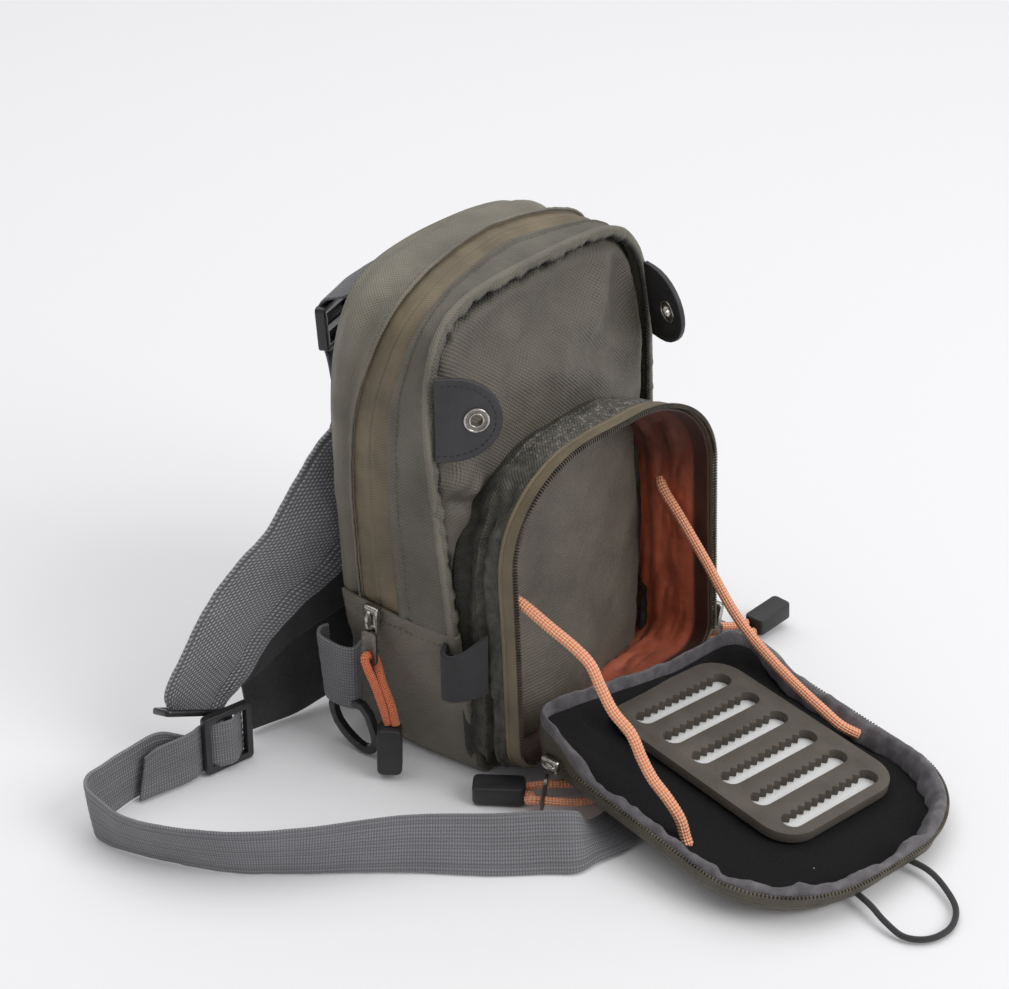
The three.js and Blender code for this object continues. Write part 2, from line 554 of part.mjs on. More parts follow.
function seatPoint(share) {
  const p = seatShape.getPointAt(share);
  const z = p.y + SEAT_FOOT_Z;
  return v3(p.x, frontY(z) - domeHeight(p.x, z) - CLOTH, z);
}

function ringPoint(share) {
  const p = ringShape.getPointAt(share);
  const y = RING_FOOT_Y + RING_LEAN * p.y + p.x * Math.sin(RING_TURN);
  return v3(p.x * Math.cos(RING_TURN), y, p.y + RING_FOOT_Z);
}

// Depth runs from the seam on the front panel (0) to the zip teeth (1).
// Inset moves the point towards the pocket's inside.
function pocketPoint(share, depth, inset = 0) {
  const at = seatPoint(share).lerp(ringPoint(share), depth);
  const inward = v3(-at.x, 0, 85 - at.z).normalize();
  return at.addScaledVector(inward, inset);
}

const RING_ARCH_START = 0.145;
const ringShare = (u) => mix(RING_ARCH_START, 1 - RING_ARCH_START, u);

const pocketGusset = sheet((u, w) => pocketPoint(u, mix(0.06, TAPE_START - 0.02, w)), 40, 2, CLOTH, true);
const pocketLining = sheet((u, w) => pocketPoint(u, mix(0.08, TAPE_START - 0.03, w), 3.2), 40, 1, LINING, true);
const pocketTape = sheet((u, w) => pocketPoint(ringShare(u), mix(TAPE_START, 0.98, w)), 36, 1, TAPE);
const pocketCoilRoute = Array.from({ length: 41 }, (_, i) => pocketPoint(ringShare(i / 40), 1.035, 0.6));
addPiece('pocket_gusset', pocketGusset, 'shell');
addPiece('pocket_lining', pocketLining, 'lining');
addPiece('pocket_zip_tape', pocketTape, 'tape');
addPiece('pocket_zip_coil', tube(pocketCoilRoute, COIL_RADIUS, 36, 5), 'teeth');

// Lid

const lid = new THREE.Group();
lid.position.copy(LID_HINGE);
lid.rotation.set(LID_TILT, LID_ROLL, LID_YAW, 'ZXY');
pack.add(lid);

const lidShape = archShape(LID);

// A point of the lid's outline, in its own frame: x across, -y away from the hinge, z above the rim.
function lidPoint(share, inset, height) {
  const p = lidShape.getPointAt(share);
  const centre = new THREE.Vector2(0, LID.height / 2);
  const ends = Math.max(0, Math.abs(p.y - centre.y) - LID.height * 0.2);
  const pull = new THREE.Vector2(p.x, Math.sign(p.y - centre.y) * ends * 1.6).normalize();
  return v3(p.x - pull.x * inset, -(p.y - pull.y * inset), height);
}

function lidSlab(inset, bottom, thickness) {
  const points = archShape(LID, inset).getSpacedPoints(44).slice(0, -1);
  const flipped = points.map((p) => new THREE.Vector2(p.x, -p.y));
  const geometry = slab(new THREE.Shape(flipped), thickness);
  geometry.translate(0, 0, bottom);
  return geometry;
}

function rimLining(columns) {
  const surface = (u, w) => {
    const row = w * (RIM_PROFILE.length - 1);
    const low = Math.min(Math.floor(row), RIM_PROFILE.length - 2);
    const share = row - low;
    const inset = mix(RIM_PROFILE[low].inset, RIM_PROFILE[low + 1].inset, share);
    const height = mix(RIM_PROFILE[low].height, RIM_PROFILE[low + 1].height, share);
    const narrow = lidShape.getPointAt(u).y < LID.footRadius ? HINGE_RIM : 1;
    const depth = RUFFLE_DEPTH * Math.sin(Math.PI * Math.min(w, 0.8));
    const wave = depth * Math.sin(2 * Math.PI * RUFFLES * u + 2 * w);
    return lidPoint(u, narrow * (inset + 0.5 * wave), height + 0.7 * wave);
  };
  return sheet(surface, columns, RIM_PROFILE.length - 1, LINING, true);
}

const wallPoint = (u, w) => lidPoint(u, 0.4 * w, mix(-LID_DEPTH + CLOTH + GAP, -1.5, w));
const lidWall = sheet(wallPoint, 44, 1, TAPE, true);
const lidCoilRoute = Array.from({ length: 41 }, (_, i) => lidPoint(ringShare(i / 40), 0.8, 0));
addPiece('lid_shell', lidSlab(1.2, -LID_DEPTH, CLOTH), 'shell', lid);
addPiece('lid_wall', lidWall, 'tape', lid);
addPiece('lid_zip_coil', tube(lidCoilRoute, COIL_RADIUS, 36, 5), 'teeth', lid);
addPiece('lid_rim_lining', rimLining(64), 'rim', lid);
addPiece('lid_floor', lidSlab(9, -LID_DEPTH + CLOTH + GAP, CLOTH), 'fleece', lid);

// The flap of cloth between the pocket's foot and the lid's near edge.
function lidHinge() {
  lid.updateMatrixWorld(true);
  const surface = (u, w) => {
    const share = mix(0.055, -0.055, u);
    const start = pocketPoint((share + 1) % 1, TAPE_START, 0);
    const end = lid.localToWorld(lidPoint((share + 1) % 1, -1.4, -LID_DEPTH + 1));
    return start.lerp(end, w);
  };
  return sheet(surface, 6, 1, CLOTH);
}
addPiece('lid_hinge', lidHinge(), 'shell');

// Foam fly patch: slots with one straight side, and teeth on the side towards the hinge.
function slotPath(middle) {
  const half = SLOTS.length / 2;
  const radius = SLOTS.width / 2;
  const path = new THREE.Path();
  path.moveTo(-half + radius, middle - radius);
  path.lineTo(half - radius, middle - radius);
  path.absarc(half - radius, middle, radius, -Math.PI / 2, Math.PI / 2, false);
  const pitch = (SLOTS.length - SLOTS.width) / SLOTS.teeth;
  for (let tooth = 0; tooth < SLOTS.teeth; tooth += 1) {
    const x = half - radius - tooth * pitch;
    path.lineTo(x - pitch / 2, middle + radius - SLOTS.toothDepth);
    path.lineTo(x - pitch, middle + radius);
  }
  path.absarc(-half + radius, middle, radius, Math.PI / 2, 1.5 * Math.PI, false);
  return path;
}

function foamPatch() {
  const shape = roundedRectangle(FOAM.width, FOAM.length, FOAM.corner);
  for (let slot = 0; slot < SLOTS.count; slot += 1) {
    shape.holes.push(slotPath(FOAM.along - SLOTS.first - slot * SLOTS.pitch));
  }
  return slab(shape, FOAM.thickness, 4);
}

const foamBaseBottom = -LID_DEPTH + 2 * CLOTH + 2 * GAP;
const foamBase = slab(roundedRectangle(FOAM.width - 1, FOAM.length - 1, FOAM.corner), LINING, 4);
addPiece('foam_base', foamBase, 'foamBase', lid).position.set(FOAM.across, -FOAM.along, foamBaseBottom);
addPiece('foam_patch', foamPatch(), 'foam', lid)
  .position.set(FOAM.across, -FOAM.along, foamBaseBottom + LINING + GAP);

// Cords
addPiece('tether_left', cord(TETHER_LEFT, TETHER_DIAMETER, 18), 'cord');
addPiece('tether_right', cord(TETHER_RIGHT, TETHER_DIAMETER, 16), 'cord');
addPiece('elastic_loop', cord(ELASTIC, ELASTIC_DIAMETER, 16), 'elastic');
addPiece('main_pull_cord', cord(MAIN_PULL, PULL_DIAMETER, 10), 'cord');
addPiece('left_pull_cord', cord(LEFT_PULL, PULL_DIAMETER, 10), 'cord');
addPiece('right_pull_cord', cord(RIGHT_PULL, PULL_DIAMETER, 10), 'cord');

// Straps

const strapY = (x) => Math.max(STRAP_PLANE.nearest, STRAP_PLANE.y + STRAP_PLANE.slope * (x - STRAP_PLANE.x));
const strapEdges = STRAP_EDGES.map((row) => [
  v3(row.outerX, strapY(row.outerX), row.outerZ), v3(row.innerX, strapY(row.innerX), row.innerZ),
]);
const padEdges = STRAP_EDGES.map(({ padLap }, i) => {
  const [outer, inner] = strapEdges[i].map((edge) => edge.clone());
  const across = outer.clone().sub(inner).normalize();
  outer.addScaledVector(across, -PAD_SETBACK);
  inner.addScaledVector(across, -padLap);
  return [outer, inner].map((edge) => edge.add(v3(0, (WEBBING + STRAP_PAD) / 2 + PAD_CLEARANCE, 0)));
});
const secondEdges = SECOND_EDGES.map((row) => [
  v3(row.outerX, row.outerY, row.outerZ), v3(row.innerX, row.innerY, row.innerZ),
]);
const waistEdges = WAIST_EDGES.map((row) => [
  v3(row.footX, row.footY, row.footZ), v3(row.headX, row.headY, row.headZ),
]);
addPiece('shoulder_strap_face', band(strapEdges, 22, WEBBING), 'webbing');
addPiece('shoulder_strap_pad', band(padEdges, 22, STRAP_PAD), 'padding');
addPiece('second_strap_pad', band(secondEdges, 16, STRAP_PAD), 'padding');
addPiece('waist_webbing', band(waistEdges, 50, WEBBING), 'webbing');

const pairs = (rows) => rows.map((row) => [
  v3(row.upperX, row.upperY, row.upperZ), v3(row.lowerX, row.lowerY, row.lowerZ),
]);
addPiece('top_webbing', band(pairs(TOP_EDGES), 6, WEBBING), 'webbing');
addPiece('adjuster_webbing', band(pairs(ADJUSTER_EDGES), 6, WEBBING), 'webbing');
addPiece('webbing_tail', band(pairs(TAIL_EDGES), 8, WEBBING), 'webbing');

// Turns a piece so that its own x and y axes run along the two directions.
function place(mesh, origin, xDirection, yDirection) {
  const x = xDirection.clone().normalize();
  const z = v3(0, 0, 0).crossVectors(x, yDirection).normalize();
  const y = v3(0, 0, 0).crossVectors(z, x);
  mesh.quaternion.setFromRotationMatrix(new THREE.Matrix4().makeBasis(x, y, z));
  mesh.position.copy(origin);
  return mesh;
}

const UP = v3(0, 0, 1);

// A flat frame with one window, or two windows either side of a bar; its width runs along y.
function frame({ width, length, thickness, rail, bar = 0 }, windows) {
  const shape = roundedRectangle(length, width, 2);
  const open = (length - 2 * rail - (windows - 1) * bar) / windows;
  for (let i = 0; i < windows; i += 1) {
    const left = -length / 2 + rail + i * (open + bar);
    const reach = width / 2 - rail - 0.5 * i;
    const corners = [[left, -reach], [left, reach], [left + open, reach], [left + open, -reach]];
    shape.holes.push(new THREE.Path(corners.map(([x, y]) => new THREE.Vector2(x, y))));
  }
  const geometry = slab(shape, thickness, 3);
  geometry.translate(0, 0, -thickness / 2);
  return geometry;
}

const BUCKLES = [
  {
    name: 'top_buckle', size: LADDER_LOCK, windows: 2,
    at: v3(-38.5, 64.2, 183.5), along: v3(0, -0.08, -1), across: v3(0.95, 0.3, 0),
  },
  {
    name: 'strap_ring', size: STRAP_RING, windows: 1,
    at: v3(-133.5, 73, 26), along: v3(0.16, 0.93, -0.32), across: v3(-26, 8, 10),
  },
  {
    name: 'strap_slider', size: TRI_GLIDE, windows: 2,
    at: v3(-127.5, 57.8, 15.4), along: v3(-0.97, 0.2, 0.02), across: UP,
  },
];
for (const { name, size, windows, at, along, across } of BUCKLES) {
  place(addPiece(name, frame(size, windows), 'plastic'), at, along, across);
}

// Tool tabs with their eyelets

function tabShape() {
  const shape = new THREE.Shape();
  const half = TAB.width / 2;
  shape.moveTo(0, -half);
  shape.lineTo(TAB.straight, -half);
  shape.absellipse(TAB.straight, 0, TAB.length - TAB.straight, half, -Math.PI / 2, Math.PI / 2, false);
  shape.lineTo(0, half);
  shape.closePath();
  const hole = new THREE.Path();
  hole.absarc(TAB.eyelet, 0, TAB.hole, 0, 2 * Math.PI, true);
  shape.holes.push(hole);
  return shape;
}

function eyeletRing() {
  const { bore, barrel, flange, lip } = EYELET;
  const low = TAB.thickness / 2 + GAP;
  const high = low + lip;
  const profile = [
    [bore, -high], [flange, -high], [flange, -low], [barrel, -low], [barrel, low], [flange, low],
    [flange, high], [bore, high], [bore, -high],
  ].map(([radius, height]) => new THREE.Vector2(radius, height));
  const geometry = new THREE.LatheGeometry(profile, 10);
  geometry.rotateX(Math.PI / 2);
  return geometry;
}

for (const { side, x, y, z, outX, outY, leanX } of TOOL_TABS) {
  const out = v3(outX, outY, 0);
  const tab = slab(tabShape(), TAB.thickness, 7);
  tab.translate(0, 0, -TAB.thickness / 2);
  const seam = v3(leanX, 0, 1);
  place(addPiece(`tool_tab_${side}`, tab, 'tab'), v3(x, y, z), out, seam);
  const centre = v3(x, y, z).addScaledVector(out, TAB.eyelet);
  place(addPiece(`eyelet_${side}`, eyeletRing(), 'metal'), centre, out, seam);
}

// Loops and snap hook
const gearEdges = GEAR_LOOP.map((row) => [v3(row.x, row.y, row.high), v3(row.x, row.y, row.low)]);
const hookEdges = HOOK_LOOP.map((row) => [v3(row.x, row.front, row.z), v3(row.x, row.rear, row.z)]);
addPiece('gear_loop', band(gearEdges, 14, WEBBING), 'tab');
addPiece('hook_loop', band(hookEdges, 20, WEBBING), 'webbing');

function snapHook() {
  const flat = (rows) => rows.map((row) => new THREE.Vector2(row.y, row.z));
  const smooth = (rows) => new THREE.SplineCurve([...flat(rows), flat(rows)[0]]).getPoints(18).slice(0, -1);
  const shape = new THREE.Shape(smooth(HOOK_OUTER));
  shape.holes.push(new THREE.Path(smooth(HOOK_INNER)));
  const geometry = slab(shape, HOOK_THICKNESS);
  geometry.translate(0, 0, -HOOK_THICKNESS / 2);
  return geometry;
}
place(addPiece('snap_hook', snapHook(), 'plastic'), v3(HOOK_X, 0, 0), v3(0, 1, 0), UP);

// Zip pulls: each slider lies on its tape, and its tab points from the slider towards the cord.

function sliderBody() {
  const geometry = slab(roundedRectangle(SLIDER.length, SLIDER.width, 2.4), SLIDER.height, 2);
  geometry.translate(0, 0, -SLIDER.height / 2);
  return geometry;
}

function pullTab() {
  const { width, length, thickness, hole } = PULL_TAB;
  const shape = roundedRectangle(length, width, 2.6);
  const eye = new THREE.Path();
  eye.absarc(length / 2 - hole - 1.4, 0, hole, 0, 2 * Math.PI, true);
  shape.holes.push(eye);
  const geometry = slab(shape, thickness, 3);
  geometry.translate(length / 2, 0, -thickness / 2);
  return geometry;
}

function cordEnd() {
  const { width, length, thickness } = CORD_END;
  const geometry = slab(roundedRectangle(length, width, 2.5), thickness, 2);
  geometry.translate(0, 0, -thickness / 2);
  return geometry;
}

const PULLS = [
  {
    name: 'main', slider: v3(-82.4, 9.6, 72.5), sliderAlong: v3(-0.04, 0, 1), sliderAcross: v3(0.02, 1, 0),
    tab: v3(-85.5, 9.4, 67.4), tabAlong: v3(-0.1, -0.07, -1), tabAcross: v3(0, 1, -0.07),
    end: v3(-90.2, -4.5, 14.6), endAlong: v3(0.02, 0, 1), endAcross: v3(0.6, -0.8, 0),
  },
  {
    name: 'left', slider: v3(-71.7, -78, 27.2), sliderAlong: v3(-0.19, -0.977, -0.09), sliderAcross: UP,
    tab: v3(-74.9, -78.3, 22.6), tabAlong: v3(-0.2, 0, -1), tabAcross: v3(0.88, 0.45, 0),
    end: v3(-76.4, -54.2, 5.9), endAlong: v3(0.55, -0.83, 0), endAcross: v3(0.83, 0.55, 0.1),
  },
  {
    name: 'right', slider: v3(75.4, -68.5, 27), sliderAlong: v3(0.06, 0, 1), sliderAcross: v3(0, 1, 0),
    tab: v3(77.9, -67.3, 19.6), tabAlong: v3(0.3, 0.27, -0.92), tabAcross: v3(-0.6, 0.8, 0),
    end: v3(116.4, -74.8, 8.2), endAlong: v3(1, -0.18, 0.1), endAcross: v3(0.18, 1, 0),
  },
];
for (const pull of PULLS) {
  const slider = addPiece(`${pull.name}_pull_slider`, sliderBody(), 'metal');
  place(slider, pull.slider, pull.sliderAlong, pull.sliderAcross);
  const tab = addPiece(`${pull.name}_pull_tab`, pullTab(), 'metal');
  place(tab, pull.tab, pull.tabAlong, pull.tabAcross);
  const end = addPiece(`${pull.name}_pull_end`, cordEnd(), 'plastic');
  place(end, pull.end, pull.endAlong, pull.endAcross);
}

export default pack;
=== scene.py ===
import bisect
import functools
import json
import math

import bmesh
import bpy
from mathutils import Matrix, Vector, kdtree, noise
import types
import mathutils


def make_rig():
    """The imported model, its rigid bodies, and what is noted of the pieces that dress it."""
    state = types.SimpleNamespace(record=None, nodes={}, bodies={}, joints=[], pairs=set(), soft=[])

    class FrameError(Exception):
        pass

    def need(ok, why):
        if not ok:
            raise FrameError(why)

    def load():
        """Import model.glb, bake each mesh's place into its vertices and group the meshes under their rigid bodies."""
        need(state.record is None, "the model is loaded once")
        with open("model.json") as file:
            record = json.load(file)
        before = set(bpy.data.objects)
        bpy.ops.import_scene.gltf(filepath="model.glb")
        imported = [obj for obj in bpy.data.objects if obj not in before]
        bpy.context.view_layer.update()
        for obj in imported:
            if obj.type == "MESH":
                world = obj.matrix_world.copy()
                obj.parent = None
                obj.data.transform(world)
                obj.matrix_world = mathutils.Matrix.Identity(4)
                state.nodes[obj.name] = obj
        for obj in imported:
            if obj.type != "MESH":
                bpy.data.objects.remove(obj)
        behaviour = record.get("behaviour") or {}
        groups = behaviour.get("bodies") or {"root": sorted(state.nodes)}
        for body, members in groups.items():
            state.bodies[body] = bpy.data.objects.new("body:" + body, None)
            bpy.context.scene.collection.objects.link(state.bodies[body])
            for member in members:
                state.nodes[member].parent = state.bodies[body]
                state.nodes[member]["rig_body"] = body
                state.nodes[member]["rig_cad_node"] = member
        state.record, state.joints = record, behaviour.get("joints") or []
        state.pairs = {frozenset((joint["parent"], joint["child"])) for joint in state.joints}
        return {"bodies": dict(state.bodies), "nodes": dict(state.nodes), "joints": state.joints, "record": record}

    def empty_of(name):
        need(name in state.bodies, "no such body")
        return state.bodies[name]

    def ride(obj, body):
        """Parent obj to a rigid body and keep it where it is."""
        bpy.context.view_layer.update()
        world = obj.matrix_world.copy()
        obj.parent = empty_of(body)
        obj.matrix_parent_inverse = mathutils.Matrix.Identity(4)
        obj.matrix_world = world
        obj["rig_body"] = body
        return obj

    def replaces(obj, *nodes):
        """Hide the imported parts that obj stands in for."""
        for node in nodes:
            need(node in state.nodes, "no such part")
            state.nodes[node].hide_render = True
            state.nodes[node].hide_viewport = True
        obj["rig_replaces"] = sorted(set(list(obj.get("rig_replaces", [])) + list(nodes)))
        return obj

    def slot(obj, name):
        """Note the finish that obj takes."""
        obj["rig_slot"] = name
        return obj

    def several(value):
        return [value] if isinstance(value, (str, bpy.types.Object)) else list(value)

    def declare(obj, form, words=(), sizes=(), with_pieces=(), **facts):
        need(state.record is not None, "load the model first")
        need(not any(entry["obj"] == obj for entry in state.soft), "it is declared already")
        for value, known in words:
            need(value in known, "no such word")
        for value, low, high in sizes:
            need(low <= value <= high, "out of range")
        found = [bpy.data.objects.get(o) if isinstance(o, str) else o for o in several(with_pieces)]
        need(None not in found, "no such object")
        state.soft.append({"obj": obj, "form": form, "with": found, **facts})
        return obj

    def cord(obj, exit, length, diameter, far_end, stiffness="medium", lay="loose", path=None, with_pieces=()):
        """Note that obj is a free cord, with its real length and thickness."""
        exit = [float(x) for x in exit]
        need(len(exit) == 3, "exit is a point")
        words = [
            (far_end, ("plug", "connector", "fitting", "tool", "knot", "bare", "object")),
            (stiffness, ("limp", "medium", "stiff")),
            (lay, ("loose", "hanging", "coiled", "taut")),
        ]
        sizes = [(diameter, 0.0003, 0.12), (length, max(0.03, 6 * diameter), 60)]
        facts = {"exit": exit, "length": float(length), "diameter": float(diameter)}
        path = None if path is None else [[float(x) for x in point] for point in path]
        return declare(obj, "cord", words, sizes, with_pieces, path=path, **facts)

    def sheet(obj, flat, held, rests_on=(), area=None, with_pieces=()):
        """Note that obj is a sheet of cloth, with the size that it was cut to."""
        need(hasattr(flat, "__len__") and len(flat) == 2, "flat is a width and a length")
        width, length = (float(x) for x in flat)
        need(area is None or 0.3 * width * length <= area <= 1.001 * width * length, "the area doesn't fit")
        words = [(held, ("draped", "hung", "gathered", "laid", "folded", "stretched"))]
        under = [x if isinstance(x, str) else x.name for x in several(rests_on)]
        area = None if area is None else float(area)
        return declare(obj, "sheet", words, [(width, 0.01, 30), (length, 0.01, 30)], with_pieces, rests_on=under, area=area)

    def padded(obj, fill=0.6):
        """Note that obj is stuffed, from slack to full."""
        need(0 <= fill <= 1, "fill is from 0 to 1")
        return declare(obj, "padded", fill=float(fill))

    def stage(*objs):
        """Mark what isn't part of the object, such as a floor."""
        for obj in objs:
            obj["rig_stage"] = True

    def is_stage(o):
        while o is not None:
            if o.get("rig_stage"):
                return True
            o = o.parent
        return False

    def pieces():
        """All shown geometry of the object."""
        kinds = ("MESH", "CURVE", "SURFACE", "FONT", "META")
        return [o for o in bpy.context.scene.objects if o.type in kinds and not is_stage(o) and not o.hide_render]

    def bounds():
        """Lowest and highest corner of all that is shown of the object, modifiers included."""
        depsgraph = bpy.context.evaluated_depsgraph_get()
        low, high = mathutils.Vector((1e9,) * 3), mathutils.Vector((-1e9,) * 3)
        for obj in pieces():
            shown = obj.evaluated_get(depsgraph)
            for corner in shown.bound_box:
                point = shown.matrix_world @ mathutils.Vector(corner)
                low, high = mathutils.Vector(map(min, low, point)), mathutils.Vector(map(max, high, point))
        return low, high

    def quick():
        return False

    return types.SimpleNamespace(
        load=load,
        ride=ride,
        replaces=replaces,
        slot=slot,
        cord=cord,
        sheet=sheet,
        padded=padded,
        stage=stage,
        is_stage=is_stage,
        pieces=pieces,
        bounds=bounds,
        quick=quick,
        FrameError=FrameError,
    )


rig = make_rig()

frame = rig.load()
cad_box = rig.bounds()

# A fishing chest pack with its front pocket folded open.
# Sizes are in millimetres, as in the part's source, and meshes are made in metres.
MM = 0.001
UP = Vector((0, 0, 1))
FRONT = Vector((0, -1, 0))

# The photograph's camera
PHOTO_WIDTH = 1009
FOCAL_PIXELS = 2079.8
CAMERA_TARGET = Vector((-18.25, -13.53, 113.15))
CAMERA_AZIMUTH = math.radians(-53.14)
CAMERA_ELEVATION = math.radians(27.83)
CAMERA_DISTANCE = 913.7
SENSOR_WIDTH = 36

# Floor and light, in metres
FLOOR_SIZE = 9
LIGHT_TARGET = Vector((0, -0.05, 0.08))

# Cloth and webbing
CLOTH = 1.6
LINING = 1.0
TAPE = 1.2
WEBBING = 1.8
GAP = 0.4

# Edges of solids: turns that are merged as facets, and turns that are rounded.
FACET_ANGLE = math.radians(2)
EDGE_ANGLE = math.radians(30)

# Main compartment
BACK_Y = 34
FRONT_FOOT_Y = -34.9
FRONT_LEAN = 0.08
BODY_HALF_WIDTH = 81
BODY_TOP = 220
GUSSET_FOOT = 0.135
SEAM_LAP = 0.03
ROLL_SHARE = 0.80
ROLL_RADIUS = 2.5
ROLL_PROUD = 0.9
ROLL_TURN = math.radians(170)
PIPING_RADIUS = 1.9
FRONT_DOME = 6
BODY_MIDDLE = Vector((0, 0, 105))
BASE_SIDE = 0.36
PANEL_SHOULDER = 0.36
PANEL_FOOT = 0.012
PANEL_TUCK = 0.6
PANEL_EDGE_STEPS = 800
BACK_PAD = 2.8
BACK_DROP = 5
BACK_FIT = 0.984
BACK_SINK = 0.4
BACK_LIFT = 2

# Front pocket
RING = dict(half_width=70.8, height=141.6, corner_x=55, corner_y=42, foot_radius=14)
RING_FOOT_Y = -67
RING_FOOT_Z = 12
RING_LEAN = 0.05
RING_TURN = math.radians(-3.9)
SEAT = dict(half_width=71.5, height=143, corner_x=58, corner_y=50, foot_radius=14)
SEAT_FOOT_Z = 5
WALL_START = -0.14
WALL_LAP = 0.03
TAPE_START = 0.72
RING_ARCH_START = 0.145
POCKET_MIDDLE = Vector((0, -50, 85))

# Lid
LID = dict(half_width=68.3, height=151, corner_x=55, corner_y=45, foot_radius=14)
LID_HINGE = Vector((2.4, -71.5, 25.7))
LID_TILT = math.radians(5.34)
LID_ROLL = math.radians(2.15)
LID_YAW = math.radians(-11.27)
LID_DEPTH = 10.4
LID_TURN = (
    Matrix.Rotation(LID_YAW, 4, "Z") @ Matrix.Rotation(LID_TILT, 4, "X") @ Matrix.Rotation(LID_ROLL, 4, "Y")
)
LID_PLACE = Matrix.Translation(LID_HINGE) @ LID_TURN
HINGE_RIM = 0.45
FOAM_BASE_FIT = 0.955

# Cords
TETHER_DIAMETER = 4.6
PULL_DIAMETER = 3.8
ELASTIC_DIAMETER = 2.6

# Outline of the compartment: half width and height at the front seam, then where the main zip runs.
OUTLINE = [
    (0.760, 0.000, 0.780, 0.000), (0.805, 0.018, 0.825, 0.017), (0.850, 0.130, 0.875, 0.120),
    (0.925, 0.280, 0.945, 0.270), (0.960, 0.450, 0.980, 0.430), (0.990, 0.640, 1.000, 0.580),
    (1.000, 0.770, 0.985, 0.700), (0.975, 0.850, 0.930, 0.790), (0.910, 0.915, 0.840, 0.865),
    (0.800, 0.962, 0.710, 0.925), (0.620, 0.988, 0.520, 0.967), (0.340, 0.998, 0.280, 0.992),
    (0.000, 1.000, 0.000, 1.000),
]

# Sections from the back to the front seam: depth, half width, top and roundness.
SECTIONS = [
    (0.00, 77.0, 225.0, 0.30), (0.16, 80.5, 228.0, 0.35), (0.33, 82.0, 229.0, 0.40),
    (0.48, 83.0, 228.0, 0.40), (0.75, 83.0, 224.0, 0.25), (1.00, 81.0, 219.5, 0.00),
]

# Depths of the main zip's two edges, by place along the arch: along, rear, front.
ZIP_LINE = [
    (0.100, 0.215, 0.575), (0.180, 0.218, 0.583), (0.250, 0.250, 0.615), (0.300, 0.335, 0.660),
    (0.347, 0.480, 0.750), (0.388, 0.575, 0.830), (0.430, 0.570, 0.800), (0.500, 0.510, 0.725),
]

# Soft folds of the front panel: x, z, direction in degrees, half length, half width, height.
PANEL_FOLDS = [
    (41, 200, 68, 24, 7, 3.0), (22, 184, 24, 22, 7, 2.2), (58, 188, 80, 26, 8, -3.2),
    (70, 160, 96, 16, 6, 2.0), (-34, 198, 28, 26, 8, -2.2), (-20, 184, 28, 20, 6, -1.8),
    (-28, 214, 10, 30, 6, 1.4), (8, 200, 20, 24, 9, -1.4), (-4, 170, -20, 40, 8, 1.6),
    (38, 164, -34, 26, 6, -1.8), (-40, 172, 60, 20, 6, 1.4), (-68, 141, 12, 8, 4.0, 3.0),
    (-58, 137, 40, 7, 3.0, 2.2), (-67, 150, 5, 10, 3.0, -2.6), (-64, 132, -8, 9, 3.2, -2.8),
    (-69, 118, 80, 14, 2.6, 1.6), (64, 104, 90, 15, 1.3, -3.0),
]

# Creases of the pocket's side wall: share round the ring, depth, reach in share, reach in depth, height.
POCKET_CREASES = [
    (0.18, 0.34, 0.030, 0.10, -2.0), (0.22, 0.52, 0.026, 0.08, 1.6), (0.26, 0.30, 0.040, 0.09, -2.4),
    (0.30, 0.45, 0.026, 0.12, 2.0), (0.34, 0.26, 0.020, 0.12, -3.0), (0.372, 0.48, 0.014, 0.14, -3.4),
    (0.392, 0.33, 0.014, 0.16, 2.2), (0.15, 0.50, 0.026, 0.08, 1.4), (0.355, 0.55, 0.012, 0.10, 1.8),
    (0.62, 0.40, 0.05, 0.1, -1.5), (0.52, 0.35, 0.03, 0.14, 0.8), (0.47, 0.42, 0.02, 0.12, -0.7),
]

# Routes of the cords
TETHER_LEFT = [
    (-68.4, -51, 99.2), (-66, -57.2, 96.4), (-66, -73.1, 89.9), (-66, -86.5, 84.2), (-66, -93.4, 79.6),
    (-66, -99, 70.4), (-66, -105.2, 61.4), (-66, -114.4, 54.0), (-66, -120, 44.2), (-66, -125.4, 36.6),
    (-65.8, -133, 29.6), (-65.6, -139.6, 21.6), (-66.2, -142.6, 15.0), (-67.2, -145.2, 11.0),
]
TETHER_RIGHT = [
    (68.2, -39.8, 95.0), (64.8, -42.4, 92.6), (61.2, -55.2, 81.6), (58.4, -71.7, 65),
    (55.7, -89.6, 45.5), (53.0, -102, 37), (48.0, -124, 27), (42.6, -146, 20.4), (41.8, -156, 16.4),
    (45.6, -162.8, 12.4),
]
ELASTIC = [
    (-12.4, -213, 4.4), (-12.9, -219, 5.0), (-13.8, -228, 4.5), (-19, -238, 3.5), (-27.5, -247, 2.5),
    (-39, -250, 2), (-50, -246, 2), (-55, -238, 2.5), (-53, -228.5, 4), (-48.5, -219.5, 5.0),
    (-44.0, -210, 4.6),
]
MAIN_PULL = [
    (-89.6, -3.6, 26.6), (-90.2, -0.8, 36), (-90.4, 3.4, 46), (-90.4, 7.0, 52.6), (-89.4, 8.8, 56.0),
    (-86.8, 9.0, 56.2), (-84.6, 8.4, 55.2), (-84.6, 6.0, 51.4), (-86.8, 1.6, 45), (-87.6, -3.6, 36),
    (-88.2, -6.6, 26.6),
]
LEFT_PULL = [
    (-67.9, -62.4, 6.2), (-65.3, -66.3, 7.2), (-61.5, -72, 8), (-56.5, -78, 8.2), (-52.8, -84, 8.2),
    (-52.6, -89.5, 8), (-57, -92.5, 7.8), (-64, -90.5, 8.4), (-71.6, -84.6, 10), (-77.2, -78.3, 11.2),
    (-79.2, -74.4, 11.0), (-77.4, -70.8, 8.2), (-73.4, -69.8, 6.2), (-71.6, -68.4, 5.8),
    (-72.2, -65.2, 5.6),
]
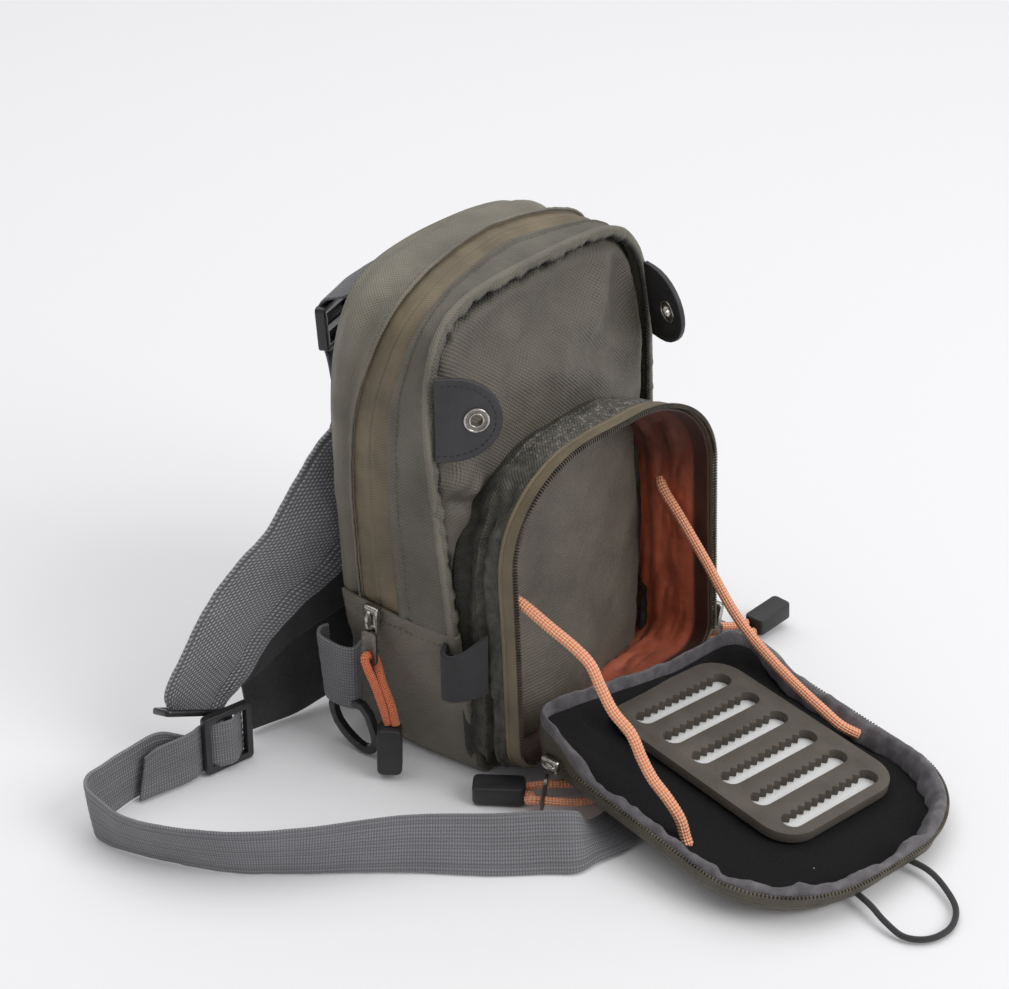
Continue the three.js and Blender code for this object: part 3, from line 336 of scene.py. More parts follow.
RIGHT_PULL = [
    (104.4, -70.4, 8.6), (96, -66, 9), (89.4, -61.8, 10.4), (84.6, -61.6, 10.6), (81.2, -64.3, 8.6),
    (79.2, -67.4, 6.6), (84, -69.8, 5.4), (95, -72.4, 5.2), (103.8, -74.8, 5.4),
]

# Shoulder strap: x and z of both edges, and how far its padding reaches past the inner edge.
STRAP_EDGES = [
    ((-38, 158), (-4, 118), 24), ((-59, 145), (-22, 100), 24), ((-76, 128), (-44, 82), 24),
    ((-93, 104), (-64, 68), 22), ((-108, 93), (-80, 60.5), 19), ((-125, 75), (-94, 49.5), 14),
    ((-138, 55), (-105, 37), 9), ((-144.5, 44), (-113, 30), 4), ((-146, 38), (-117, 27), 1),
]
STRAP_END = [((-145.4, 33.5), (-119.6, 24.2)), ((-144.8, 30.5), (-121.0, 21.6))]
STRAP_PLANE = dict(x=-50, y=46, slope=-0.306, nearest=45)
STRAP_PAD = 6
PAD_COVER = 3.6
PAD_SETBACK = 9
PAD_LAP = 2
PAD_CLEARANCE = 1.2
PAD_FRAMES = 20
PAD_PRESSURE = 4
PAD_SWELL = 1.8
BACK_SWELL = 1.4

# Other straps and webbing: a pair of edge points in each row.
SECOND_EDGES = [
    ((-10, 52, 72), (-4, 46, 26)), ((-30, 53, 64), (-26, 47, 17)), ((-48, 57, 55.5), (-48, 52, 9)),
    ((-63, 63, 46.5), (-66, 57, 4)), ((-77, 69, 38), (-81, 60, 2)), ((-90, 73, 30), (-95, 64, 2)),
    ((-101, 74, 23), (-104, 66, 3)),
]
WAIST_EDGES = [
    ((-112, 69.5, 2), (-112, 70.5, 15)), ((-124, 68.5, 1.8), (-124, 69.5, 14)),
    ((-137, 68.5, 1.6), (-137, 69, 16)), ((-155, 71, 1.2), (-155, 72.5, 26.4)),
    ((-172, 73, 1.2), (-172, 74.8, 25.8)), ((-184, 72.5, 1.2), (-185, 75, 25.5)),
    ((-193.5, 71.5, 1.2), (-194.5, 74.2, 25.5)), ((-199.5, 66.5, 1.2), (-200, 68.5, 25.5)),
    ((-200.3, 58, 1.2), (-203.4, 56, 25.5)), ((-198.3, 46, 1.2), (-205.4, 42, 25.5)),
    ((-193.5, 31, 1.2), (-202.5, 28.5, 25.5)), ((-184, 5, 1.2), (-190, 2.5, 25.8)),
    ((-167, -19, 1.2), (-168.5, -22.5, 26)), ((-141, -51.4, 1.2), (-136.5, -49, 25.6)),
    ((-118, -86, 1.2), (-109.5, -79.5, 24)), ((-106, -100, 1.2), (-97, -92, 23.4)),
    ((-97, -111, 1.6), (-87.5, -102, 22)), ((-87, -113.5, 2), (-79, -100, 13)),
    ((-74, -118, 1.8), (-68, -98, 4.6)), ((-50, -121, 1.4), (-46, -96.5, 1.6)),
    ((0, -119, 1.4), (2, -93.5, 1.4)), ((50, -113, 1.4), (46, -87.5, 1.4)),
    ((92, -100, 1.4), (79, -78, 1.4)), ((108, -56, 1.4), (83.5, -52, 2.0)),
    ((104, -16, 1.4), (79, -16, 3.6)), ((92, 10, 2), (80, 10, 14)), ((82, 26, 1.6), (80, 26, 26)),
]
TOP_EDGES = [
    ((-36, 39.8, 216), (-14, 39.8, 214)), ((-42, 42.6, 206.5), (-21, 50, 210.5)),
    ((-46.4, 50.4, 200.5), (-26, 59, 204)), ((-48.3, 60.8, 196.5), (-28.8, 67, 196.7)),
    ((-48.3, 64.4, 190), (-28.8, 70.4, 190)), ((-48.3, 60.6, 184), (-28.8, 66.6, 184)),
]
ADJUSTER_EDGES = [
    ((-48.3, 62.6, 186), (-28.8, 68.6, 186)), ((-48.3, 63.6, 178), (-28.8, 69.6, 178)),
    ((-48.3, 60.4, 170.5), (-28.8, 66.4, 170.5)), ((-48.4, 58, 159), (-27.6, 64, 158)),
    ((-48, 57, 147), (-26, 62.6, 144)), ((-51, 58, 137), (-29, 61.5, 134)),
]
TAIL_EDGES = [
    ((-117.5, 59.2, 26.0), (-117.5, 59.2, 4.2)), ((-122.2, 56.4, 26.0), (-122.2, 56.4, 4.0)),
    ((-127.6, 54.4, 26.0), (-127.6, 54.4, 3.6)), ((-133, 57.4, 25.6), (-133, 57.4, 3.0)),
    ((-138.4, 62.4, 25.4), (-138.4, 62.4, 2.2)), ((-144, 62.4, 25), (-144, 62.2, 1.4)),
    ((-151, 63.4, 25), (-151, 63, 1.4)), ((-161, 67.4, 23.4), (-163, 66.6, 1.4)),
    ((-166, 69.4, 20.6), (-171.5, 69, 1.4)),
]
GEAR_EDGES = [
    ((-76.6, -26.0, 70.5), (-76.6, -26.0, 46)), ((-82.2, -28.6, 69.6), (-82.2, -28.6, 46.6)),
    ((-84.6, -34, 70.2), (-84.6, -34, 48)), ((-82.6, -40, 73.4), (-82.6, -40, 49.6)),
    ((-77.2, -44.6, 78), (-77.2, -44.6, 51)), ((-74.6, -47.0, 80.4), (-74.6, -47.0, 52)),
]
HOOK_EDGES = [
    ((-78.6, 39.5, 57), (-79.0, 37.5, 24)), ((-82.6, 40.5, 57), (-82.2, 38.2, 24)),
    ((-86.4, 38.5, 56.4), (-85.2, 36.0, 23.6)), ((-87.4, 32, 55.4), (-86.2, 30.5, 23)),
    ((-86.8, 24, 54.6), (-85.8, 24.5, 22.6)), ((-84.4, 19.6, 54.6), (-84.0, 20.5, 22.6)),
    ((-80.6, 19.4, 55), (-80.8, 20.2, 23)), ((-78.6, 20.2, 55.4), (-79.0, 21.0, 23.4)),
]

# Tool tabs: middle of the seam edge, direction outwards, lean of the seam.
TOOL_TABS = {
    "left": (Vector((-80.2, -24.7, 176)), Vector((0.705, -0.709, 0)), Vector((0, 0, 1))),
    "right": (Vector((75.4, -25.6, 178.5)), Vector((-0.42, -0.907, 0)), Vector((-0.19, 0, 1))),
}
TAB = dict(length=28, width=37, straight=7, thickness=2.6, eyelet=17, border=3)
BARREL_RADIUS = 2.9

# Zip pulls: middle of the slider, its direction along the zip and across it.
SLIDERS = {
    "main": (Vector((-82.4, 9.6, 72.5)), Vector((-0.04, 0, 1)), Vector((0.02, 1, 0))),
    "left": (Vector((-71.7, -78, 27.2)), Vector((-0.19, -0.977, -0.09)), UP),
    "right": (Vector((75.4, -68.5, 27)), Vector((0.06, 0, 1)), Vector((0, 1, 0))),
}
SLIDER = dict(length=13, width=8.4, height=4)
SLIDER_SIZES = dict(main=1.0, left=0.74, right=1.0)


# Curves and tables

def mix(a, b, share):
    return a + (b - a) * share


def ramp(value, low, high):
    share = min(1.0, max(0.0, (value - low) / (high - low)))
    return share * share * (3 - 2 * share)


def bell(value, middle, width):
    return math.exp(-(((value - middle) / width) ** 2))


def run_lengths(points):
    """The length of a run of points up to each of them."""
    lengths = [0.0]
    for a, b in zip(points, points[1:]):
        lengths.append(lengths[-1] + (b - a).length)
    return lengths


def span_at(lengths, wanted):
    """Which span of a run a length falls in, and how far along that span."""
    i = min(max(bisect.bisect_left(lengths, wanted), 1), len(lengths) - 1)
    span = lengths[i] - lengths[i - 1]
    return i, (wanted - lengths[i - 1]) / span if span else 0


class Spline:
    """A smooth curve through points, read by place in the list or by length along it."""

    def __init__(self, points, samples=300):
        self.points = [Vector(p) for p in points]
        first = 2 * self.points[0] - self.points[1]
        last = 2 * self.points[-1] - self.points[-2]
        self.knots = [first, *self.points, last]
        self.places = [i / samples for i in range(samples + 1)]
        self.lengths = run_lengths([self.at(t) for t in self.places])
        self.length = self.lengths[-1]

    def at(self, t):
        spans = len(self.points) - 1
        place = min(1.0, max(0.0, t)) * spans
        i = min(int(place), spans - 1)
        a, b, c, d = self.knots[i : i + 4]
        s = place - i
        before, here, after = (max((q - p).length, 1e-9) ** 0.5 for p, q in ((a, b), (b, c), (c, d)))
        leave = ((b - a) / before - (c - a) / (before + here) + (c - b) / here) * here
        arrive = ((c - b) / here - (d - b) / (here + after) + (d - c) / after) * here
        bend = (3 * (c - b) - 2 * leave - arrive) * s * s
        return b + leave * s + bend + (2 * (b - c) + leave + arrive) * s**3

    def place_of(self, share):
        i, part = span_at(self.lengths, min(1.0, max(0.0, share)) * self.length)
        return mix(self.places[i - 1], self.places[i], part)

    def along(self, share):
        return self.at(self.place_of(share))


def table_at(rows, x):
    """The other columns of a table at x, joined smoothly from row to row."""
    i = min(max(bisect.bisect_right([row[0] for row in rows], x), 1), len(rows) - 1)
    low, high = rows[i - 1], rows[i]
    span = high[0] - low[0]
    share = (x - low[0]) / span
    before = rows[max(i - 2, 0)]
    after = rows[min(i + 1, len(rows) - 1)]
    result = []
    for column in range(1, len(low)):
        leave = (high[column] - before[column]) / (high[0] - before[0]) * span
        arrive = (after[column] - low[column]) / (after[0] - low[0]) * span
        rise = high[column] - low[column]
        bend = (3 * rise - 2 * leave - arrive) * share**2 + (leave + arrive - 2 * rise) * share**3
        result.append(low[column] + leave * share + bend)
    return result


def arch_curve(width, height):
    left = [Vector((-BODY_HALF_WIDTH * row[width], BODY_TOP * row[height], 0)) for row in OUTLINE]
    right = [Vector((-p.x, p.y, 0)) for p in reversed(left[:-1])]
    return Spline(left + right, 600)


FRONT_ARCH = arch_curve(0, 1)
ZIP_ARCH = arch_curve(2, 3)


@functools.lru_cache(maxsize=None)
def arch_points(along):
    return FRONT_ARCH.along(along), ZIP_ARCH.along(along)


def front_y(z):
    return FRONT_FOOT_Y + FRONT_LEAN * z


def body_point(along, depth):
    """A point of the compartment: along the arch from the left foot, and from the back to the front seam."""
    half_width, top, roundness = table_at(SECTIONS, depth)
    seam, zip_run = arch_points(round(along, 6))
    at = seam.lerp(zip_run, roundness)
    z = at.y * top / BODY_TOP
    return Vector((at.x * half_width / BODY_HALF_WIDTH, mix(BACK_Y, front_y(z), depth), z))


@functools.lru_cache(maxsize=None)
def zip_edges(along):
    return table_at(ZIP_LINE, min(along, 1 - along))


def dome_height(x, z):
    across = min(1.0, abs(x) / BODY_HALF_WIDTH)
    upwards = min(1.0, abs(z - BODY_TOP / 2) / (BODY_TOP / 2))
    return FRONT_DOME * (1 - across**2) * (1 - upwards**2)


def rough(point, size, seed=0.0, detail=3):
    """Smooth noise of about -1 to 1 with patches of the given size."""
    at = Vector(point) / size + Vector((seed, 2 * seed, -seed))
    return noise.fractal(at, 1.0, 2.0, detail, noise_basis="PERLIN_ORIGINAL")


class Arch:
    """The closed outline of the pocket or lid, by share of its length from the middle of its foot."""

    def __init__(self, half_width, height, corner_x, corner_y, foot_radius, inset=0):
        x = half_width - inset
        top = height - inset
        rx = corner_x - inset * 0.7
        ry = corner_y - inset * 0.7
        foot = max(foot_radius - inset, 3)
        points = [Vector((0, inset))]
        points += self.arc(-x + foot, inset + foot, foot, foot, 270, 180)
        points += self.arc(-x + rx, top - ry, rx, ry, 180, 90)
        points += self.arc(x - rx, top - ry, rx, ry, 90, 0)
        points += self.arc(x - foot, inset + foot, foot, foot, 0, -90)
        points.append(points[0].copy())
        self.points = points
        self.lengths = run_lengths(points)
        self.length = self.lengths[-1]

    @staticmethod
    def arc(x, y, rx, ry, start, end, steps=20):
        turns = (math.radians(mix(start, end, i / steps)) for i in range(steps + 1))
        return [Vector((x + rx * math.cos(t), y + ry * math.sin(t))) for t in turns]

    def at(self, share):
        i, part = span_at(self.lengths, (share % 1.0) * self.length)
        return self.points[i - 1].lerp(self.points[i], part)


RING_ARCH = Arch(**RING)
SEAT_ARCH = Arch(**SEAT)
LID_ARCH = Arch(**LID)


def pocket_point(share, depth, inset=0.0):
    """From the seam on the front panel (depth 0) to the zip teeth (1); inset goes towards the inside."""
    p = SEAT_ARCH.at(share)
    z = p.y + SEAT_FOOT_Z
    seat = Vector((p.x, front_y(z) - dome_height(p.x, z) - CLOTH, z))
    p = RING_ARCH.at(share)
    y = RING_FOOT_Y + RING_LEAN * p.y + p.x * math.sin(RING_TURN)
    ring = Vector((p.x * math.cos(RING_TURN), y, p.y + RING_FOOT_Z))
    at = seat.lerp(ring, depth)
    inward = Vector((-at.x, 0, POCKET_MIDDLE.z - at.z)).normalized()
    return at + inward * inset


def ring_share(share):
    return mix(RING_ARCH_START, 1 - RING_ARCH_START, share)


def lid_local(share, inset, height):
    p = LID_ARCH.at(share)
    middle = LID["height"] / 2
    ends = max(0.0, abs(p.y - middle) - LID["height"] * 0.2)
    pull = Vector((p.x, math.copysign(ends * 1.6, p.y - middle))).normalized()
    return Vector((p.x - pull.x * inset, -(p.y - pull.y * inset), height))


def lid_point(share, inset, height):
    return LID_PLACE @ lid_local(share, inset, height)


# Making pieces

def deselect():
    if bpy.context.object and bpy.context.object.mode != "OBJECT":
        bpy.ops.object.mode_set(mode="OBJECT")
    bpy.ops.object.select_all(action="DESELECT")


def pick(piece):
    deselect()
    piece.select_set(True)
    bpy.context.view_layer.objects.active = piece


def named(name):
    piece = bpy.context.object
    piece.name = name
    piece.data.name = name
    return piece


def apply(piece, kind, **settings):
    modifier = piece.modifiers.new(kind.lower(), kind)
    for key, value in settings.items():
        setattr(modifier, key, value)
    pick(piece)
    bpy.ops.object.modifier_apply(modifier=modifier.name)


def edit(piece, *steps):
    """Runs edit mode operators on everything in the piece."""
    pick(piece)
    bpy.ops.object.mode_set(mode="EDIT")
    bpy.ops.mesh.select_all(action="SELECT")
    for step in steps:
        step()
    bpy.ops.object.mode_set(mode="OBJECT")


def weld(distance):
    return lambda: bpy.ops.mesh.remove_doubles(threshold=distance * MM)


def smooth(piece, angle=None):
    pick(piece)
    if angle is None:
        bpy.ops.object.shade_smooth()
    else:
        bpy.ops.object.shade_smooth_by_angle(angle=math.radians(angle))


def grid(name, surface, columns, rows):
    """A grid laid on surface(u, w), with its UV map in metres. Returns it with each point's u and w."""
    deselect()
    bpy.ops.mesh.primitive_grid_add(x_subdivisions=columns, y_subdivisions=rows, size=1)
    piece = named(name)
    spots = [(vertex.co.x + 0.5, vertex.co.y + 0.5) for vertex in piece.data.vertices]
    for vertex, (u, w) in zip(piece.data.vertices, spots):
        vertex.co = surface(u, w) * MM
    piece.location = (0, 0, 0)
    middle_row = [surface(i / 60, 0.5) for i in range(61)]
    middle_column = [surface(0.5, i / 20) for i in range(21)]
    length = sum((b - a).length for a, b in zip(middle_row, middle_row[1:])) * MM
    width = sum((b - a).length for a, b in zip(middle_column, middle_column[1:])) * MM
    for spot in piece.data.uv_layers[0].data:
        spot.uv = (spot.uv.x * length, spot.uv.y * width)
    return piece, spots, (length, width)


def face_away(piece, inside):
    """Turns the faces so that most of them look away from a point inside."""
    mesh = piece.data
    mesh.update()
    total = sum(f.area * f.normal.dot(f.center - inside * MM) for f in mesh.polygons)
    if total < 0:
        mesh.flip_normals()
        mesh.update()


def shade(piece, spots, depth):
    """Keeps how much painted shade each point gets, in the seam attribute, for the cloth's colour."""
    layer = piece.data.attributes.new("seam", "FLOAT", "POINT")
    for item, (u, w) in zip(layer.data, spots):
        item.value = depth(u, w)


def raise_relief(piece, spots, relief):
    mesh = piece.data
    mesh.update()
    normals = [vertex.normal.copy() for vertex in mesh.vertices]
    for vertex, normal, (u, w) in zip(mesh.vertices, normals, spots):
        vertex.co += normal * relief(u, w) * MM


FLAT_SIZES = {}


def cloth(name, surface, columns, rows, thickness, inside, relief=None, closed=False, back=-1, seam=None):
    """A sheet of cloth: shaped, given its folds and seams and its painted shade, then its thickness."""
    piece, spots, flat = grid(name, surface, columns, rows)
    face_away(piece, inside)
    FLAT_SIZES[name] = flat, sum(f.area for f in piece.data.polygons)
    if relief:
        raise_relief(piece, spots, relief)
    # seam gives how much painted shade each point gets.
    if seam:
        shade(piece, spots, seam)
    if closed:
        edit(piece, weld(0.3))
    apply(piece, "SOLIDIFY", thickness=thickness * MM, offset=back)
    smooth(piece)
    return piece


def ribbed(ribs, depth):
    """Grooves along a band."""
    return lambda u, w: -depth * (1 - abs(math.sin(math.pi * ribs * w))) ** 3


def strap(name, edges, columns, rows, thickness, inside, relief=None):
    """A band through pairs of edge points."""
    first = Spline([a for a, b in edges])
    second = Spline([b for a, b in edges])
    middle = Spline([(Vector(a) + Vector(b)) / 2 for a, b in edges])

    @functools.lru_cache(maxsize=None)
    def edge_points(u):
        t = middle.place_of(u)
        return first.at(t), second.at(t)

    def surface(u, w):
        a, b = edge_points(round(u, 6))
        return a.lerp(b, w)

    return cloth(name, surface, columns, rows, thickness, inside, relief, back=0)


def tube(name, route, radius, sides, step, relief=None):
    """A round cord along a route; relief(turn, distance) swells it as a share of its radius."""
    path = Spline(route)
    count = max(4, round(path.length / step))
    points = [path.along(i / count) for i in range(count + 1)]
    frames = []
    across = None
    for i, point in enumerate(points):
        ahead = (points[min(i + 1, count)] - points[max(i - 1, 0)]).normalized()
        if across is None:
            across = ahead.orthogonal().normalized()
        across = (across - ahead * across.dot(ahead)).normalized()
        frames.append((point, across, ahead.cross(across)))

    def surface(u, w):
        point, side, up = frames[round(w * count)]
        turn = 2 * math.pi * u
        size = radius * (1 + (relief(u, w * path.length) if relief else 0))
        return point + (side * math.cos(turn) + up * math.sin(turn)) * size

    deselect()
    bpy.ops.mesh.primitive_grid_add(x_subdivisions=sides, y_subdivisions=count, size=1)
    piece = named(name)
    for vertex in piece.data.vertices:
        vertex.co = surface(vertex.co.x + 0.5, vertex.co.y + 0.5) * MM
    for spot in piece.data.uv_layers[0].data:
        spot.uv = (spot.uv.x * 2 * math.pi * radius * MM, spot.uv.y * path.length * MM)
    edit(piece, weld(0.005))
    mesh = bmesh.new()
    mesh.from_mesh(piece.data)
    bmesh.ops.holes_fill(mesh, edges=[e for e in mesh.edges if e.is_boundary], sides=0)
    bmesh.ops.recalc_face_normals(mesh, faces=mesh.faces)
    mesh.to_mesh(piece.data)
    mesh.free()
    smooth(piece)
    return piece, [point * MM for point in points], path.length * MM


def copies(name, part, places):
    """One mesh that holds a copy of part at each place."""
    shape = [vertex.co.copy() for vertex in part.data.vertices]
    faces = [tuple(f.vertices) for f in part.data.polygons]
    all_points = []
    all_faces = []
    for place in places:
        start = len(all_points)
        all_points += [place @ point for point in shape]
        all_faces += [tuple(start + i for i in face) for face in faces]
    mesh = bpy.data.meshes.new(name)
    mesh.from_pydata(all_points, [], all_faces)
    piece = bpy.data.objects.new(name, mesh)
    bpy.context.scene.collection.objects.link(piece)
    bpy.data.objects.remove(part)
    smooth(piece, 40)
    return piece


def axes(origin, x, y):
    """A placing whose x and y axes run along two directions, in metres from millimetres."""
    x = x.normalized()
    z = x.cross(y).normalized()
    turn = Matrix((x, z.cross(x), z)).transposed().to_4x4()
    return Matrix.Translation(origin * MM) @ turn


def settle(piece, place):
    """Puts the object's place into its mesh."""
    piece.data.transform(place)
    piece.matrix_world = Matrix.Identity(4)


def block(name, size, bevel, segments):
    """A box with rounded edges, at the origin."""
    deselect()
    bpy.ops.mesh.primitive_cube_add(size=1)
    piece = named(name)
    piece.scale = [side * MM for side in size]
    bpy.ops.object.transform_apply(location=False, rotation=False, scale=True)
    apply(piece, "BEVEL", width=bevel * MM, segments=segments)
    return piece


def join(pieces, name):
    deselect()
    for piece in pieces:
        piece.select_set(True)
    bpy.context.view_layer.objects.active = pieces[0]
    bpy.ops.object.join()
    return named(name)


def from_solid(node, name, bevel, segments):
    """A copy of a solid with its facets merged and its edges rounded."""
    piece = bpy.data.objects.new(name, frame["nodes"][node].data.copy())
    piece.data.materials.clear()
    bpy.context.scene.collection.objects.link(piece)
    merge = weld(0.005)
    edit(piece, merge, lambda: bpy.ops.mesh.dissolve_limited(angle_limit=FACET_ANGLE))
    apply(piece, "BEVEL", width=bevel * MM, segments=segments, limit_method="ANGLE", angle_limit=EDGE_ANGLE)
    smooth(piece, 35)
    return piece


def stitches(name, surface, line, pitch, inside, length=2.2, radius=0.32, lift=0.15, relief=None):
    """Thread stitches along a line on a surface with its relief; line(t) gives its u and w."""
    run = Spline([surface(*line(i / 500)) for i in range(501)], 600)
    deselect()
    bpy.ops.mesh.primitive_uv_sphere_add(segments=6, ring_count=4, radius=1)
    thread = named(name + "_thread")
    thread.data.transform(Matrix.Diagonal((length / 2 * MM, radius * MM, radius * MM, 1)))
    places = []
    step = 0.004
    for i in range(int(run.length / pitch)):
        share = (i + 0.5) * pitch / run.length
        t = run.place_of(share)
        u, w = line(t)
        ahead = run.at(min(t + step, 1)) - run.at(max(t - step, 0))
        across = surface(u, min(w + step, 1)) - surface(u, max(w - step, 0))
        normal = ahead.cross(across).normalized()
        here = run.at(t)
        if normal.dot(here - inside) < 0:
            normal.negate()
        rise = lift + (relief(u, w) if relief else 0)
        places.append(axes(here + normal * rise, ahead, normal))
    return copies(name, thread, places)


def teeth(name, route, pitch, size, inward):
    """Coil teeth along a zip edge; inward(share, here) points to the middle of the zip."""
    run = Spline(route, 900)
    tooth = block(name + "_tooth", size, min(size) * 0.38, 2)
    count = int(run.length / pitch)
    places = []
    for i in range(count):
        share = (i + 0.5) / count
        here = run.along(share)
        ahead = run.along(min(share + 0.002, 1)) - run.along(max(share - 0.002, 0))
        places.append(axes(here, ahead, inward(share, here)))
    return copies(name, tooth, places)


def swell(piece, cap):
    """Fills a pad as padding fills its cover, by a short run of simulated cloth under pressure."""
    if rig.quick():
        return
    start = [vertex.co.copy() for vertex in piece.data.vertices]
    modifier = piece.modifiers.new("padding", "CLOTH")
    settings = modifier.settings
    settings.quality = 4
    settings.use_pressure = True
    settings.uniform_pressure_force = PAD_PRESSURE
    settings.effector_weights.gravity = 0
    for step in range(1, PAD_FRAMES + 1):
        bpy.context.scene.frame_set(step)
    evaluated = piece.evaluated_get(bpy.context.evaluated_depsgraph_get())
    ends = [vertex.co.copy() for vertex in evaluated.data.vertices]
    bpy.context.scene.frame_set(1)
    piece.modifiers.remove(modifier)
    for vertex, a, b in zip(piece.data.vertices, start, ends):
        move = b - a
        vertex.co = a + move * min(1.0, cap * MM / max(move.length, 1e-9))
    apply(piece, "SUBSURF", levels=1, render_levels=1)
    smooth(piece)


def dress(piece, material, slot, *nodes):
    """Gives a piece its material, its record slot and its place on the pack."""
    piece.data.materials.clear()
    piece.data.materials.append(material)
    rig.ride(piece, "root")
    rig.slot(piece, slot)
    if nodes:
        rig.replaces(piece, *nodes)


def sewn(piece, held, rests_on=()):
    """Declares a sheet of cloth with the size it was cut to."""
    (length, width), area = FLAT_SIZES[piece.name]
    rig.sheet(piece, flat=(width, length), held=held, rests_on=rests_on, area=min(area, width * length))


# Materials

class Finish:
    """A material, with short ways to add its nodes. Lengths in it are in millimetres."""

    def __init__(self, name, roughness, metallic=0.0, sheen=0.0, coat=0.0, specular=0.5):
        self.material = bpy.data.materials.new(name)
        self.material.use_nodes = True
        self.tree = self.material.node_tree
        self.shader = self.tree.nodes["Principled BSDF"]
        self.set("Roughness", roughness)
        self.set("Metallic", metallic)
        self.set("Sheen Weight", sheen)
        self.set("Coat Weight", coat)
        self.set("Specular IOR Level", specular)

    def set(self, socket, value):
        if isinstance(value, bpy.types.NodeSocket):
            self.tree.links.new(value, self.shader.inputs[socket])
        else:
            self.shader.inputs[socket].default_value = value

    def node(self, kind, inputs, output=0, **settings):
        made = self.tree.nodes.new(kind)
        for key, value in settings.items():
            setattr(made, key, value)
        for key, value in inputs.items():
            if isinstance(value, bpy.types.NodeSocket):
                self.tree.links.new(value, made.inputs[key])
            else:
                made.inputs[key].default_value = value
        return made.outputs[output]

    def math(self, operation, a, b=0.0):
        return self.node("ShaderNodeMath", {0: a, 1: b}, operation=operation)

    def times(self, a, b):
        return self.math("MULTIPLY", a, b)

    def plus(self, a, b):
        return self.math("ADD", a, b)

    def mixed(self, factor, a, b):
        first, second = ((*colour, 1) if isinstance(colour, tuple) else colour for colour in (a, b))
        return self.node("ShaderNodeMix", {0: factor, 6: first, 7: second}, output=2, data_type="RGBA")

    def between(self, value, low, high, start=0.0, end=1.0):
        return self.node("ShaderNodeMapRange", {0: value, 1: low, 2: high, 3: start, 4: end})

    def weave_place(self):
        """Distance along and across the cloth."""
        uv = self.node("ShaderNodeTexCoord", {}, output="UV")
        scaled = self.node("ShaderNodeVectorMath", {0: uv, 3: 1 / MM}, operation="SCALE")
        split = self.tree.nodes.new("ShaderNodeSeparateXYZ")
        self.tree.links.new(scaled, split.inputs[0])
        return split.outputs[0], split.outputs[1], scaled

    def place(self):
        """Place on the pack."""
        spot = self.node("ShaderNodeTexCoord", {}, output="Object")
        return self.node("ShaderNodeVectorMath", {0: spot, 3: 1 / MM}, operation="SCALE")

    def wave(self, value, period):
        return self.math("SINE", self.times(value, 2 * math.pi / period))

    def honeycomb(self, x, y, repeat):
        """Small cells set off row from row."""
        return self.times(self.wave(x, repeat), self.wave(y, repeat * 0.9))

    def in_seam(self, colour):
        """Paints shade into a colour, darkening it towards black as far as the seam attribute says."""
        depth = self.node("ShaderNodeAttribute", {}, output="Fac", attribute_name="seam")
        return self.mixed(depth, colour, (0.006, 0.006, 0.005))

    def noise(self, vector, size, detail=2.0, rough=0.5):
        inputs = {"Vector": vector, "Scale": 1.0 / size, "Detail": detail, "Roughness": rough}
        return self.node("ShaderNodeTexNoise", inputs)

    def cells(self, vector, size):
        return self.node("ShaderNodeTexVoronoi", {"Vector": vector, "Scale": 1.0 / size})

    def bump(self, height, depth, strength=1.0):
        inputs = {"Height": height, "Distance": depth * MM, "Strength": strength}
        self.set("Normal", self.node("ShaderNodeBump", inputs))


def shell_cloth(name, light, dark, repeat=1.6, depth=0.14):
    """Olive nylon in a small honeycomb weave, with soft patches of shade."""
    f = Finish(name, 0.58, sheen=0.08)
    x, y, spot = f.weave_place()
    cell = f.honeycomb(x, y, repeat)
    patches = f.noise(f.place(), 26, 3.0)
    fibre = f.noise(spot, 0.5, 2.0)
    tone = f.plus(f.times(cell, 0.16), f.plus(f.times(patches, 0.8), f.times(fibre, 0.3)))
    f.set("Base Color", f.in_seam(f.mixed(f.between(tone, 0.15, 0.95), dark, light)))
    f.bump(f.plus(cell, f.times(fibre, 0.4)), depth, 0.8)
    return f.material


def pocket_cloth():
    """The pocket's wall: dark brushed cloth on the sides and a glinting open mesh over the top."""
    f = Finish("pocket_cloth", 0.55, sheen=0.1)
    x, y, spot = f.weave_place()
    place = f.place()
    across = f.node("ShaderNodeSeparateXYZ", {0: place}, output=0)
    top = f.between(f.plus(across, f.times(f.noise(place, 9, 2.0), 8.0)), -37.0, -30.0)
    cell = f.honeycomb(x, y, 1.7)
    nap = f.noise(spot, 6.0, 4.0, 0.65)
    sides = f.mixed(f.between(nap, 0.35, 0.75), (0.024, 0.024, 0.018), (0.105, 0.097, 0.074))
    glint = f.between(f.cells(spot, 1.6), 0.1, 0.5, 1.0, 0.0)
    mesh = f.mixed(glint, (0.075, 0.068, 0.056), (0.25, 0.235, 0.21))
    f.set("Base Color", f.in_seam(f.mixed(top, sides, mesh)))
    f.bump(f.plus(f.times(cell, 0.5), f.plus(f.times(nap, 0.8), f.times(glint, 0.3))), 0.3, 0.9)
    return f.material


